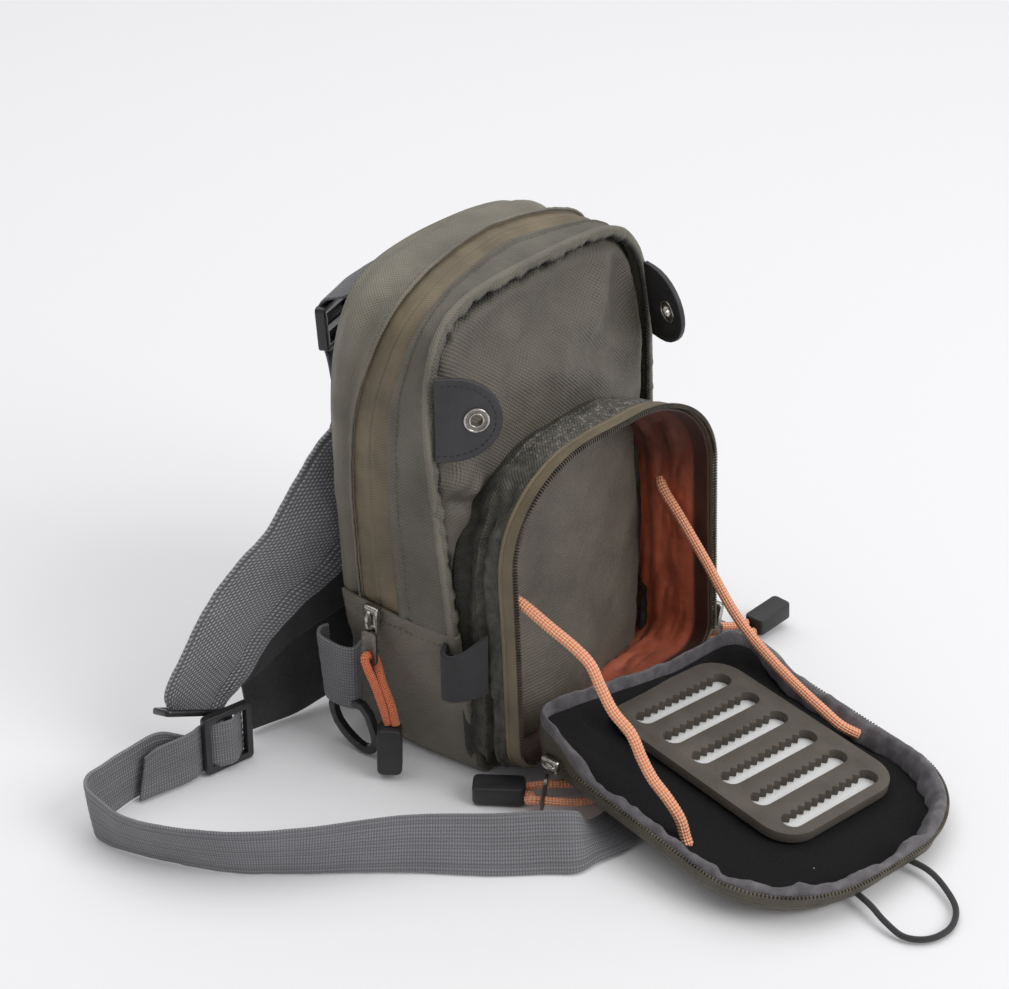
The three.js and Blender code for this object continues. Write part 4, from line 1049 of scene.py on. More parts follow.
def rib_cloth():
    """The front panel: honeycomb weave outside the pocket, fine diagonal ribs inside it."""
    f = Finish("rib_cloth", 0.56, sheen=0.08)
    x, y, spot = f.weave_place()
    place = f.place()
    height = f.node("ShaderNodeSeparateXYZ", {0: place}, output=2)
    inside = f.between(height, 142.0, 136.0)
    cell = f.honeycomb(x, y, 2.1)
    fine = f.honeycomb(x, y, 1.7)
    rib = f.wave(f.plus(y, f.times(x, 0.06)), 1.5)
    ribs = f.plus(f.times(fine, 0.25), f.times(rib, 0.25))
    pattern = f.plus(f.times(cell, f.between(inside, 0, 1, 1.0, 0.0)), f.times(ribs, inside))
    patches = f.noise(place, 24, 3.0)
    fibre = f.noise(spot, 0.5, 2.0)
    tone = f.plus(f.times(pattern, 0.22), f.plus(f.times(patches, 0.8), f.times(fibre, 0.25)))
    colour = f.mixed(f.between(tone, 0.12, 0.95), (0.052, 0.045, 0.036), (0.180, 0.160, 0.124))
    f.set("Base Color", f.in_seam(colour))
    f.bump(f.plus(pattern, f.times(fibre, 0.4)), 0.24, 0.8)
    return f.material


def tape_cloth(name, light, dark):
    """Woven zip tape: fine ribs across it and a soft sheen."""
    f = Finish(name, 0.55, sheen=0.1)
    x, y, _ = f.weave_place()
    rib = f.times(f.wave(x, 0.9), f.wave(f.plus(y, f.times(x, 0.5)), 1.4))
    wear = f.noise(f.place(), 18, 3.0)
    tone = f.plus(f.times(rib, 0.18), wear)
    f.set("Base Color", f.mixed(f.between(tone, 0.2, 0.85), dark, light))
    f.bump(rib, 0.1, 0.7)
    return f.material


def satin(name, light, dark, roughness, streak, sheen, shaded=0.0):
    """Thin lining with creases painted lighter and darker, and painted shade towards its top."""
    f = Finish(name, roughness, sheen=sheen)
    x, y, spot = f.weave_place()
    weft = f.wave(f.plus(x, f.times(y, 0.35)), 0.7)
    folds = f.noise(spot, streak, 4.0, 0.6)
    tone = f.plus(f.times(weft, 0.05), folds)
    height = f.node("ShaderNodeSeparateXYZ", {0: f.place()}, output=2)
    # The crease noise paints the light and shade of the creases into the colour.
    colour = f.mixed(f.between(tone, 0.3, 0.72), dark, light)
    # Painted shade towards the top, as strong as shaded says, over the painted seam shade.
    f.set("Base Color", f.in_seam(f.mixed(f.times(f.between(height, 70, 130), shaded), colour, dark)))
    f.bump(f.plus(f.times(weft, 0.15), folds), 0.8, 0.6)
    return f.material


def fleece_cloth():
    """Black loop fleece with a few pale bits of lint."""
    f = Finish("fleece_cloth", 1.0, sheen=0.02, specular=0.1)
    place = f.place()
    loops = f.noise(place, 0.9, 3.0, 0.7)
    lint = f.between(f.cells(place, 17.0), 0.028, 0.016)
    cloth_colour = f.mixed(loops, (0.007, 0.007, 0.0078), (0.021, 0.020, 0.021))
    f.set("Base Color", f.mixed(lint, cloth_colour, (0.30, 0.29, 0.28)))
    f.bump(loops, 0.5, 0.8)
    return f.material


def foam_finish(name, light, dark):
    """Closed cell foam with fine pits."""
    f = Finish(name, 0.9, specular=0.25)
    place = f.place()
    pits = f.noise(place, 0.55, 3.0, 0.65)
    cloud = f.noise(place, 14, 2.0)
    tone = f.plus(f.times(pits, 0.6), f.times(cloud, 0.5))
    f.set("Base Color", f.mixed(f.between(tone, 0.35, 0.75), dark, light))
    f.bump(pits, 0.2, 0.5)
    return f.material


def braid_finish(name, light, dark, pitch):
    """Braided cord: crossing strands, with painted shade in their valleys."""
    f = Finish(name, 0.6, sheen=0.2)
    round_it, along, spot = f.weave_place()
    slope = f.times(round_it, 1.25)
    cross = f.times(f.wave(f.plus(along, slope), pitch), f.wave(f.math("SUBTRACT", along, slope), pitch))
    fleck = f.noise(spot, 0.9, 2.0)
    tone = f.plus(cross, f.times(fleck, 0.5))
    # The strand pattern paints shade into the valleys between the strands.
    f.set("Base Color", f.mixed(f.between(tone, -0.45, 0.75), dark, light))
    f.bump(f.plus(cross, f.times(fleck, 0.3)), 0.35, 0.9)
    return f.material


def webbing_cloth(name, light, dark, along_pitch, across_pitch, contrast, slant, depth):
    """Woven webbing: rows of short floats, each row set off from the next."""
    f = Finish(name, 0.7, sheen=0.1)
    x, y, spot = f.weave_place()
    row = f.between(f.wave(y, across_pitch), -0.9, 0.5)
    dash = f.between(f.wave(f.plus(x, f.times(y, slant)), along_pitch), -0.8, 0.4)
    cell = f.times(dash, row)
    fibre = f.noise(spot, 0.6, 2.0)
    wear = f.noise(f.place(), 30, 2.0)
    tone = f.plus(f.times(cell, contrast), f.plus(f.times(fibre, 0.3), f.times(wear, 0.3)))
    f.set("Base Color", f.mixed(f.between(tone, 0.2, 0.45 + contrast), dark, light))
    f.bump(f.plus(cell, f.times(fibre, 0.5)), depth, 0.9)
    return f.material


def pad_cloth():
    """Smooth black cloth over padding, with a faint nap."""
    f = Finish("pad_cloth", 0.8, sheen=0.1, specular=0.3)
    place = f.place()
    nap = f.noise(place, 1.1, 3.0)
    wear = f.noise(place, 22, 3.0)
    tone = f.plus(f.times(nap, 0.5), f.times(wear, 0.6))
    f.set("Base Color", f.mixed(f.between(tone, 0.3, 0.8), (0.026, 0.025, 0.026), (0.058, 0.056, 0.058)))
    f.bump(nap, 0.15, 0.6)
    return f.material


def grained(name, light, dark, roughness, grain, depth, coat=0.0):
    """Grained sheet or moulded plastic, a little worn."""
    f = Finish(name, roughness, coat=coat)
    place = f.place()
    cells = f.cells(place, grain)
    wear = f.noise(place, 9, 3.0)
    f.set("Base Color", f.mixed(f.between(wear, 0.3, 0.75), dark, light))
    f.set("Roughness", f.between(wear, 0.3, 0.8, roughness - 0.06, roughness + 0.08))
    f.bump(cells, depth, 0.5)
    return f.material


def plated(name, light, dark, roughness):
    """Plated metal with fine scuffs."""
    f = Finish(name, roughness, metallic=1.0)
    place = f.place()
    scuff = f.noise(place, 1.2, 4.0, 0.7)
    f.set("Base Color", f.mixed(f.between(scuff, 0.35, 0.75), light, dark))
    f.set("Roughness", f.between(scuff, 0.3, 0.8, roughness, roughness + 0.18))
    f.bump(scuff, 0.04, 0.3)
    return f.material


def thread_finish(name, light, dark):
    """Sewing thread."""
    f = Finish(name, 0.7)
    place = f.place()
    twist = f.noise(place, 0.5, 2.0)
    f.set("Base Color", f.mixed(twist, dark, light))
    f.bump(twist, 0.1, 0.5)
    return f.material


SHELL = shell_cloth("shell_cloth", (0.256, 0.236, 0.180), (0.089, 0.079, 0.063))
# A darker copy of the shell cloth for the front gusset: painted shade.
SHADED_SHELL = shell_cloth("front_shell_cloth", (0.180, 0.168, 0.128), (0.058, 0.052, 0.042))
BASE_SHELL = shell_cloth("base_cloth", (0.245, 0.218, 0.172), (0.102, 0.088, 0.070))
PANEL = rib_cloth()
POCKET = pocket_cloth()
TAPE_BROWN = tape_cloth("zip_tape", (0.236, 0.184, 0.112), (0.098, 0.076, 0.046))
LID_TAPE = tape_cloth("lid_tape", (0.105, 0.088, 0.056), (0.040, 0.034, 0.023))
TEETH = grained("zip_teeth", (0.085, 0.066, 0.044), (0.022, 0.018, 0.012), 0.35, 0.6, 0.03)
LID_TEETH = grained("lid_teeth", (0.165, 0.138, 0.094), (0.030, 0.026, 0.019), 0.28, 0.6, 0.03)
# The rust lining gets painted shade towards its top.
RUST = satin("rust_lining", (0.62, 0.150, 0.072), (0.40, 0.088, 0.042), 0.42, 14.0, 0.1, 0.75)
RIM = satin("rim_lining", (0.170, 0.158, 0.172), (0.060, 0.056, 0.062), 0.6, 7.0, 0.2)
FLEECE = fleece_cloth()
FOAM = foam_finish("foam", (0.140, 0.122, 0.104), (0.085, 0.074, 0.063))
WHITE_FOAM = foam_finish("foam_base", (0.90, 0.90, 0.90), (0.80, 0.80, 0.79))
BRAID = braid_finish("orange_braid", (1.0, 0.60, 0.37), (0.92, 0.19, 0.075), 3.0)
PULL_BRAID = braid_finish("deep_orange_braid", (1.0, 0.31, 0.125), (0.62, 0.078, 0.024), 1.9)
ELASTIC_BLACK = braid_finish("black_elastic", (0.030, 0.030, 0.032), (0.010, 0.010, 0.011), 1.0)
LEATHER = grained("tab_leather", (0.038, 0.037, 0.040), (0.021, 0.020, 0.022), 0.5, 0.8, 0.08)
GEAR_ELASTIC = webbing_cloth(
    "gear_elastic", (0.037, 0.036, 0.040), (0.019, 0.019, 0.021), 0.9, 0.8, 0.1, 0.0, 0.1,
)
STEEL = plated("plated_steel", (0.56, 0.54, 0.50), (0.22, 0.21, 0.20), 0.14)
GUN_METAL = plated("dark_metal", (0.26, 0.235, 0.21), (0.12, 0.11, 0.10), 0.32)
PLASTIC = grained("black_plastic", (0.022, 0.022, 0.024), (0.010, 0.010, 0.011), 0.30, 0.5, 0.02, 0.15)
PLUG = grained("plug_plastic", (0.030, 0.030, 0.032), (0.016, 0.016, 0.017), 0.5, 0.5, 0.04)
GREY_WEB = webbing_cloth(
    "grey_webbing", (0.295, 0.293, 0.31), (0.112, 0.111, 0.119), 1.15, 1.5, 0.55, 0.0, 0.25,
)
STRAP_WEAVE = webbing_cloth(
    "strap_weave", (0.50, 0.50, 0.52), (0.076, 0.076, 0.082), 2.0, 1.45, 0.9, 0.95, 0.4,
)
PAD = pad_cloth()
THREAD = thread_finish("olive_thread", (0.17, 0.16, 0.12), (0.08, 0.075, 0.055))
DARK_THREAD = thread_finish("dark_thread", (0.030, 0.030, 0.032), (0.014, 0.014, 0.015))


# Camera

def add_camera():
    across = math.cos(CAMERA_ELEVATION)
    back = Vector((
        math.sin(CAMERA_AZIMUTH) * across, -math.cos(CAMERA_AZIMUTH) * across, math.sin(CAMERA_ELEVATION),
    ))
    data = bpy.data.cameras.new("camera")
    data.sensor_width = SENSOR_WIDTH
    data.lens = FOCAL_PIXELS / PHOTO_WIDTH * SENSOR_WIDTH
    data.clip_start = 0.01
    camera = bpy.data.objects.new("camera", data)
    camera.location = (CAMERA_TARGET + back * CAMERA_DISTANCE) * MM
    camera.rotation_euler = (-back).to_track_quat("-Z", "Y").to_euler()
    bpy.context.scene.collection.objects.link(camera)
    bpy.context.scene.camera = camera


# Cords

def braided(pitch, strands, depth):
    """Crossing strands of a braid, as a swell of the cord's radius."""
    def relief(turn, distance):
        one = math.sin(2 * math.pi * (distance / pitch + strands * turn))
        other = math.sin(2 * math.pi * (distance / pitch - strands * turn))
        return depth * one * other
    return relief


def add_cords():
    runs = [
        ("tether_left_cord", TETHER_LEFT, TETHER_DIAMETER, "tether_left", BRAID, "hanging"),
        ("tether_right_cord", TETHER_RIGHT, TETHER_DIAMETER, "tether_right", BRAID, "taut"),
        ("elastic_loop_cord", ELASTIC, ELASTIC_DIAMETER, "elastic_loop", ELASTIC_BLACK, "loose"),
        ("main_pull_loop", MAIN_PULL, PULL_DIAMETER, "main_pull_cord", PULL_BRAID, "hanging"),
        ("left_pull_loop", LEFT_PULL, PULL_DIAMETER, "left_pull_cord", BRAID, "loose"),
        ("right_pull_loop", RIGHT_PULL, PULL_DIAMETER, "right_pull_cord", BRAID, "loose"),
    ]
    for name, route, diameter, node, material, lay in runs:
        relief = None if material is ELASTIC_BLACK else braided(3.0 if material is BRAID else 1.9, 3, 0.09)
        piece, path, length = tube(name, route, diameter / 2, 24, 0.55, relief)
        dress(piece, material, "elastic" if material is ELASTIC_BLACK else "cord", node)
        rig.cord(
            piece, exit=path[0], length=length, diameter=diameter * MM, far_end="object",
            stiffness="limp", lay=lay, path=path,
        )


# Main compartment

@functools.lru_cache(maxsize=None)
def seam_frame(along, depth=1):
    """A point of the front seam, or of the back one, and the direction out of the arch there."""
    run = body_point(min(along + 0.004, 1), depth) - body_point(max(along - 0.004, 0), depth)
    return body_point(along, depth), Vector((-run.z, 0, run.x)).normalized()


def rolled(along, start, w):
    """From a depth forwards, then rolled over the piping of the front seam."""
    along = round(along, 6)
    here, out = seam_frame(along)
    full = 1 + 0.34 * rough((along * 620, 0, 0), 8.0, 2.9, 2) + 0.2 * rough((along * 620, 0, 0), 2.6, 1.3, 1)
    proud = ROLL_PROUD * full
    if w < ROLL_SHARE:
        share = w / ROLL_SHARE
        return body_point(along, mix(start, 1.0, share)) + out * proud * ramp(share, 0.74, 1.0)
    turn = ROLL_TURN * (w - ROLL_SHARE) / (1 - ROLL_SHARE)
    radius = ROLL_RADIUS * full
    return here + out * (proud - radius + radius * math.cos(turn)) + FRONT * radius * math.sin(turn)


def gusset_along(u):
    return mix(GUSSET_FOOT - 0.008, 1 - GUSSET_FOOT + 0.008, u)


def gusset_surface(start, end):
    def surface(u, w):
        along = gusset_along(u)
        edges = zip_edges(round(along, 6))
        return body_point(along, mix(start(edges), end(edges), w))
    return surface


def foot_tuck(u):
    """Takes the ends of the gussets in behind the hem of the base."""
    return -0.8 * (1 - ramp(min(u, 1 - u), 0.006, 0.016))


def add_gussets():
    rear = gusset_surface(lambda edges: 0.0, lambda edges: edges[0])

    def rear_relief(u, w):
        here = rear(u, w)
        welt = 0.9 * bell(w, 0.955, 0.03) - 0.5 * bell(w, 0.90, 0.03)
        crown = 2.2 * ramp(here.z, 196, 222)
        body = 0.9 * bell(w, 0.28, 0.18) - 2.4 * bell(w, 0.70, 0.16) - crown
        waves = 1.6 * rough(here, 38, 1.7) + 0.5 * rough(here, 12, 5.1)
        pucker = 0.3 * ramp(w, 0.6, 0.95) * rough((u * 420, w * 6, 0), 4.0, 4.1)
        return (waves + body) * ramp(w, 0.0, 0.12) * (1 - ramp(w, 0.84, 0.97)) + welt + pucker + foot_tuck(u)

    piece = cloth("rear_gusset_cloth", rear, 300, 34, CLOTH, BODY_MIDDLE, rear_relief)
    dress(piece, SHELL, "shell", "rear_gusset")
    sewn(piece, "stretched", ["back_panel"])

    tape = gusset_surface(lambda edges: edges[0] - SEAM_LAP, lambda edges: edges[1] + SEAM_LAP)

    def tape_relief(u, w):
        coil = 0.9 * bell(w, 0.5, 0.15)
        slit = -0.8 * bell(w, 0.5, 0.03)
        return coil + slit - 1.5 + 0.2 * rough((u * 420, w * 8, 3), 9.0, 2.2) + foot_tuck(u)

    piece = cloth("main_zip_tape_cloth", tape, 240, 30, TAPE, BODY_MIDDLE, tape_relief)
    dress(piece, TAPE_BROWN, "tape", "main_zip_tape")
    sewn(piece, "stretched", ["rear_gusset"])

    def front(u, w):
        along = gusset_along(u)
        return rolled(along, zip_edges(round(along, 6))[1], w)

    def front_relief(u, w):
        here = front(u, w)
        flat = ramp(w, 0.0, 0.1) * (1 - ramp(w, 0.7, 0.84))
        fold = 0.7 * bell(w, 0.06, 0.035) - 0.6 * bell(w, 0.15, 0.04)
        waves = 1.4 * rough(here, 26, 5.3) + 0.6 * rough(here, 9, 3.7)
        gather = 0.7 * ramp(w, 0.45, 0.8) * rough((u * 420, w * 5, 7), 5.0, 8.0)
        return waves * flat + fold + gather + foot_tuck(u)

    # Painted shade on the inner turn of the roll over the piping.
    def front_roll_painted_shade(u, w):
        return 0.9 * ramp(w, 0.90, 0.96)

    piece = cloth("front_gusset_cloth", front, 320, 44, CLOTH, BODY_MIDDLE, front_relief, seam=front_roll_painted_shade)
    # The front gusset takes the darker shell copy, as painted shade.
    dress(piece, SHADED_SHELL, "shell", "front_gusset")
    sewn(piece, "stretched", ["front_panel"])

    for name, surface, relief, w in (
        ("rear_zip_stitches", rear, rear_relief, 0.90), ("front_zip_stitches", front, front_relief, 0.15),
    ):
        line = lambda t, w=w: (mix(0.02, 0.98, t), w)
        seam = stitches(name, surface, line, 3.2, BODY_MIDDLE, lift=0.05, relief=relief)
        dress(seam, THREAD, "shell")


def base_surface(u, w):
    """Down the left side, flat under the base, and up the right side."""
    if u < BASE_SIDE:
        return rolled(GUSSET_FOOT * (1 - u / BASE_SIDE), 0.0, w)
    if u > 1 - BASE_SIDE:
        return rolled(1 - GUSSET_FOOT * (1 - (1 - u) / BASE_SIDE), 0.0, w)
    share = (u - BASE_SIDE) / (1 - 2 * BASE_SIDE)
    return rolled(0.0, 0.0, w).lerp(rolled(1.0, 0.0, w), share)


def add_base():
    def relief(u, w):
        here = base_surface(u, w)
        end = min(u, 1 - u)
        side = (1 - ramp(end, 0.25, 0.34)) * (1 - ramp(w, 0.7, 0.84))
        hem = 0.3 * bell(end, 0, 0.010) - 0.4 * bell(end, 0.03, 0.01)
        return side * (1.5 * rough(here, 26, 9.1) + 0.5 * rough(here, 8, 4.1)) + hem

    # Painted shade on the roll of the base, over its right half.
    def base_painted_shade(u, w):
        return 0.93 * ramp(w, 0.80, 0.84) * ramp(u, 0.60, 0.66)

    piece = cloth("bottom_gusset_cloth", base_surface, 190, 44, CLOTH, BODY_MIDDLE, relief, seam=base_painted_shade)
    dress(piece, BASE_SHELL, "shell", "bottom_gusset")
    sewn(piece, "stretched", ["back_panel"])
    for side, place in (("left", 0.03), ("right", 0.97)):
        line = lambda t, p=place: (p, mix(0.03, 0.76, t))
        seam = stitches(f"base_{side}_stitches", base_surface, line, 3.0, BODY_MIDDLE, lift=0.1)
        dress(seam, THREAD, "shell")


@functools.lru_cache(maxsize=None)
def panel_edge(along, depth):
    """The edge of the front or back panel, under the piping, in x and z."""
    here, out = seam_frame(along, depth)
    return Vector((here.x, here.z)) - Vector((out.x, out.z)) * PANEL_TUCK


def panel_spot(u, w, depth=1):
    """A point inside the four edges of a panel, in x and z."""
    edge = lambda along: panel_edge(round(along, 6), depth)
    rise = mix(PANEL_FOOT, PANEL_SHOULDER, w)
    low = edge(PANEL_FOOT).lerp(edge(1 - PANEL_FOOT), u)
    high = edge(PANEL_SHOULDER).lerp(edge(1 - PANEL_SHOULDER), u)
    sides = edge(rise).lerp(edge(1 - rise), u)
    top = edge(mix(PANEL_SHOULDER, 1 - PANEL_SHOULDER, u))
    return sides + low.lerp(top, w) - low.lerp(high, w)


def fold_height(x, z):
    total = 0.0
    for fold_x, fold_z, turn, reach, width, height in PANEL_FOLDS:
        c = math.cos(math.radians(turn))
        s = math.sin(math.radians(turn))
        along = ((x - fold_x) * c + (z - fold_z) * s) / reach
        across = ((z - fold_z) * c - (x - fold_x) * s) / width
        total += height * math.exp(-along * along - across * across)
    return total


def edge_tree():
    """The panel's edge as points to search."""
    tree = kdtree.KDTree(PANEL_EDGE_STEPS + 1)
    for i in range(PANEL_EDGE_STEPS + 1):
        spot = panel_edge(round(mix(PANEL_FOOT, 1 - PANEL_FOOT, i / PANEL_EDGE_STEPS), 6), 1)
        tree.insert((spot.x, spot.y, 0), i)
    tree.balance()
    return tree


EDGE_TREE = edge_tree()


def panel_edge_distance(spot):
    return EDGE_TREE.find((spot.x, spot.y, 0))[2]


def panel_painted_shade(u, w):
    """Painted shade down beside the piping, in a line of uneven width."""
    spot = panel_spot(u, w)
    near = 1 - ramp(u, 0.45, 0.85)
    reach = mix(4.4, 7.4, near) + mix(1.2, 1.8, near) * rough((spot.x, 0, spot.y), 6.0, 4.7)
    line = 1 - ramp(panel_edge_distance(spot), 0.8 * reach, reach)
    # A painted shadow over a strip at the panel's right edge, up to about 130 mm high.
    slit = ramp(spot.x, 61, 64) * (1 - ramp(spot.y, 126, 138))
    return 0.94 * max(line, slit)


def panel_surface(u, w):
    spot = panel_spot(u, w)
    x, z = spot.x, spot.y
    edge = panel_edge_distance(spot)
    inside = ramp(edge, 3, 14)
    pucker = 0.9 * (1 - ramp(edge, 2, 14)) * rough((x, 0, z), 5.0, 3.3)
    waves = 0.7 * rough((x, 0, z), 17, 6.1) + 0.25 * rough((x, 0, z), 6, 2.3)
    strip = 3.2 * ramp(-x, 62, 68) * (1 - ramp(z, 140, 156))
    sunk = 6.4 * (1 - ramp(edge, 0, 10))
    belly = 14 * bell(x, -22, 50) * (1 - ramp(z, 8, 74))
    stand = dome_height(x, z) + belly + inside * (1.5 * fold_height(x, z) + waves) + pucker - max(sunk, strip)
    return Vector((x, front_y(z) - stand, z))


def add_front_panel():
    piece = cloth("front_panel_cloth", panel_surface, 150, 160, CLOTH, BODY_MIDDLE, seam=panel_painted_shade)
    dress(piece, PANEL, "shell", "front_panel")
    sewn(piece, "stretched", ["front_gusset"])

    route = [body_point(mix(PANEL_FOOT, 1 - PANEL_FOOT, i / 60), 1) for i in range(61)]

    def gathers(turn, distance):
        lump = rough((distance, 3 * math.cos(2 * math.pi * turn), 3 * math.sin(2 * math.pi * turn)), 4.0, 6.6)
        return 0.10 * lump - 0.1

    piping = tube("front_piping_cloth", route, PIPING_RADIUS, 12, 1.2, gathers)[0]
    dress(piping, SHELL, "shell", "front_piping")


def add_back_panel():
    def surface(u, w):
        spot = panel_spot(u, w, 0)
        z = BACK_LIFT + (spot.y - BACK_DROP * (1 - w)) * BACK_FIT
        return Vector((spot.x * BACK_FIT, BACK_Y - BACK_SINK, z))

    piece = cloth("back_panel_pad", surface, 44, 54, BACK_PAD, BODY_MIDDLE, back=0)
    swell(piece, BACK_SWELL)
    dress(piece, PAD, "padding", "back_panel")
    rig.padded(piece, fill=0.6)


# Front pocket

def add_pocket():
    wall_depth = lambda w: mix(WALL_START, TAPE_START + WALL_LAP, w)
    wall = lambda u, w: pocket_point(u, wall_depth(w))

    def wall_relief(u, w):
        depth = wall_depth(w)
        creases = 0.0
        for share, at, reach, deep, height in POCKET_CREASES:
            creases += height * bell(u, share, reach) * bell(depth, at, deep)
        here = wall(u, w)
        side = 1 - ramp(here.z, 122, 136)
        edge = ramp(depth, 0, 0.1) * (1 - ramp(depth, 0.62, 0.69))
        welt = 2.0 * bell(depth, 0.30, 0.035) - 2.2 * bell(depth, 0.41, 0.05)
        welt -= 2.6 * bell(depth, 0.06, 0.13)
        band = 1.3 * math.sin(math.pi * ramp(depth, 0.0, 0.72)) * (1 - side)
        line = 0.7 * bell(depth, 0.12, 0.025) * (1 - side)
        lumps = edge * (creases + 1.5 * rough(here, 12, 2.7) + 0.9 * rough(here, 4.5, 7.7))
        keep = 1 - 0.85 * ramp(here.x, 10, 45)
        return keep * (lumps + welt * side) + band + line - 1.4 * ramp(depth, 0.70, 0.735)

    # Painted shade on the pocket's side wall: in the valley by the panel, along a fold, stronger towards the right,
    # and along the top edge.
    def pocket_wall_painted_shade(u, w):
        depth = wall_depth(w)
        here = wall(u, w)
        side = 1 - ramp(here.z, 128, 144)
        valley = 1 - ramp(depth, 0.10, 0.22)
        fold = bell(depth, 0.40, 0.035)
        deep = mix(0.6, 0.94, ramp(here.x, 20, 50))
        top = 0.8 * (1 - side) * (1 - ramp(depth, 0.03, 0.09))
        return min(0.94, side * (deep * valley + 0.55 * fold) + top)

    piece = cloth(
        "pocket_gusset_cloth", wall, 290, 44, CLOTH, POCKET_MIDDLE, wall_relief, closed=True,
        seam=pocket_wall_painted_shade,
    )
    dress(piece, POCKET, "shell", "pocket_gusset")
    sewn(piece, "stretched", ["front_panel"])

    def lining(u, w):
        away = mix(3.4, 2.2, ramp(w, 0.70, 0.84))
        p = SEAT_ARCH.at(u)
        away += 5.0 * ramp(-p.x, 30, 60) * (1 - ramp(w, 0.5, 0.75))
        return pocket_point(u, mix(-0.12, 0.955, w), away)

    # Painted shade on the lining: beside the zip tape, in the low left corner, and towards the top.
    def lining_painted_shade(u, w):
        p = SEAT_ARCH.at(u)
        corner = ramp(-p.x, 30, 46) * (1 - ramp(p.y, 28, 46))
        return max(0.9 * ramp(w, 0.76, 0.82), 0.93 * corner, 0.72 * ramp(p.y, 66, 112))

    def lining_relief(u, w):
        here = lining(u, w)
        folds = 1.7 * rough((here.x * 0.5, here.y * 1.3, here.z * 0.30), 10, 4.4) + 0.3 * rough(here, 4, 1.1)
        long_fold = -2.4 * bell(w, 0.30, 0.07) * ramp(u, 0.5, 0.6)
        return (long_fold - 1.3 * abs(folds)) * ramp(w, 0, 0.1) * (1 - ramp(w, 0.62, 0.76))

    piece = cloth(
        "pocket_lining_cloth", lining, 260, 38, LINING, POCKET_MIDDLE, lining_relief, closed=True,
        seam=lining_painted_shade,
    )
    dress(piece, RUST, "lining", "pocket_lining")
    sewn(piece, "gathered", ["pocket_gusset"])

    tape = lambda u, w: pocket_point(mix(0.118, 0.882, u), mix(TAPE_START, 0.985, w))

    def tape_relief(u, w):
        fold = 0.5 * bell(w, 0.1, 0.08) - 0.4 * bell(w, 0.25, 0.05)
        return fold + 0.3 * rough(tape(u, w), 14, 3.9)

    piece = cloth("pocket_zip_tape_cloth", tape, 340, 16, TAPE, POCKET_MIDDLE, tape_relief)
    dress(piece, TAPE_BROWN, "tape", "pocket_zip_tape")

    route = [pocket_point(ring_share(i / 90), 1.02, 0.9) for i in range(91)]
    piece = teeth(
        "pocket_zip_teeth", route, 1.35, (0.8, 2.2, 1.6),
        lambda share, here: Vector((-here.x, 0, POCKET_MIDDLE.z - here.z)),
    )
    dress(piece, TEETH, "teeth", "pocket_zip_coil")

    band = lambda u, w: pocket_point(mix(0.39, 0.62, u), w)
    seam = stitches("pocket_top_stitches", band, lambda t: (t, 0.16), 3.0, POCKET_MIDDLE, lift=0.9)
    dress(seam, THREAD, "shell")


# Lid

def rim_lift(p):
    """How far the rim stands up at the hinge end, most of all at its left corner."""
    return (max(0.0, 6.2 - 0.12 * p.x) + 5 * ramp(p.x, 20, 56)) * (1 - ramp(p.y, 10, 44))


def lid_disc(inset, height, lift=0.0):
    outline = Arch(**LID, inset=inset)

    def surface(u, w):
        p = outline.at(u)
        spot = Vector((0, LID["height"] / 2)).lerp(p, w)
        rise = max(ramp(w, 0.92, 1), ramp(w, 0.6, 1) * ramp(-spot.x, 30, 46))
        edge = 3.6 * (1 - ramp(p.y, 6, 26)) * ramp(w, 0.93, 1) if lift else 0
        return LID_PLACE @ Vector((spot.x, -spot.y, height + lift * rim_lift(p) * rise + edge))
    return surface


RIM_PROFILE = Spline([
    (0.5, -0.8, 0), (1.1, 1.2, 0), (2.6, 2.3, 0), (4.4, 1.9, 0),
    (6.0, -0.4, 0), (7.2, -3.2, 0), (8.0, -6.6, 0),
])


def rim_surface(u, w):
    at = RIM_PROFILE.at(w)
    p = LID_ARCH.at(u)
    near = 1 - ramp(p.y, 6, 26)
    here = Vector((p.x, p.y, 0))
    crease = 0.25 * rough((p.x, p.y, 9 * w), 3.0, 2.2, 1)
    gather = 1.2 * rough(here, 13, 3.1, 1) + 0.9 * rough(here, 6.0, 8.2, 1) + crease
    lean = 2.4 * rough(here, 11, 1.3, 1) + 1.2 * rough(here, 5.0, 4.3, 1)
    full = math.sin(math.pi * min(1.0, w * 1.1))
    inset = mix(1.0, HINGE_RIM, near) * (at.x + full * 0.9 * gather + lean * w)
    lift = rim_lift(p) * mix(ramp(w, -0.6, 0.2), 1.0, ramp(w, 0.5, 1.0))
    return LID_PLACE @ lid_local(u, inset, at.y + full * 1.7 * gather * (1 - 0.4 * near) + lift)


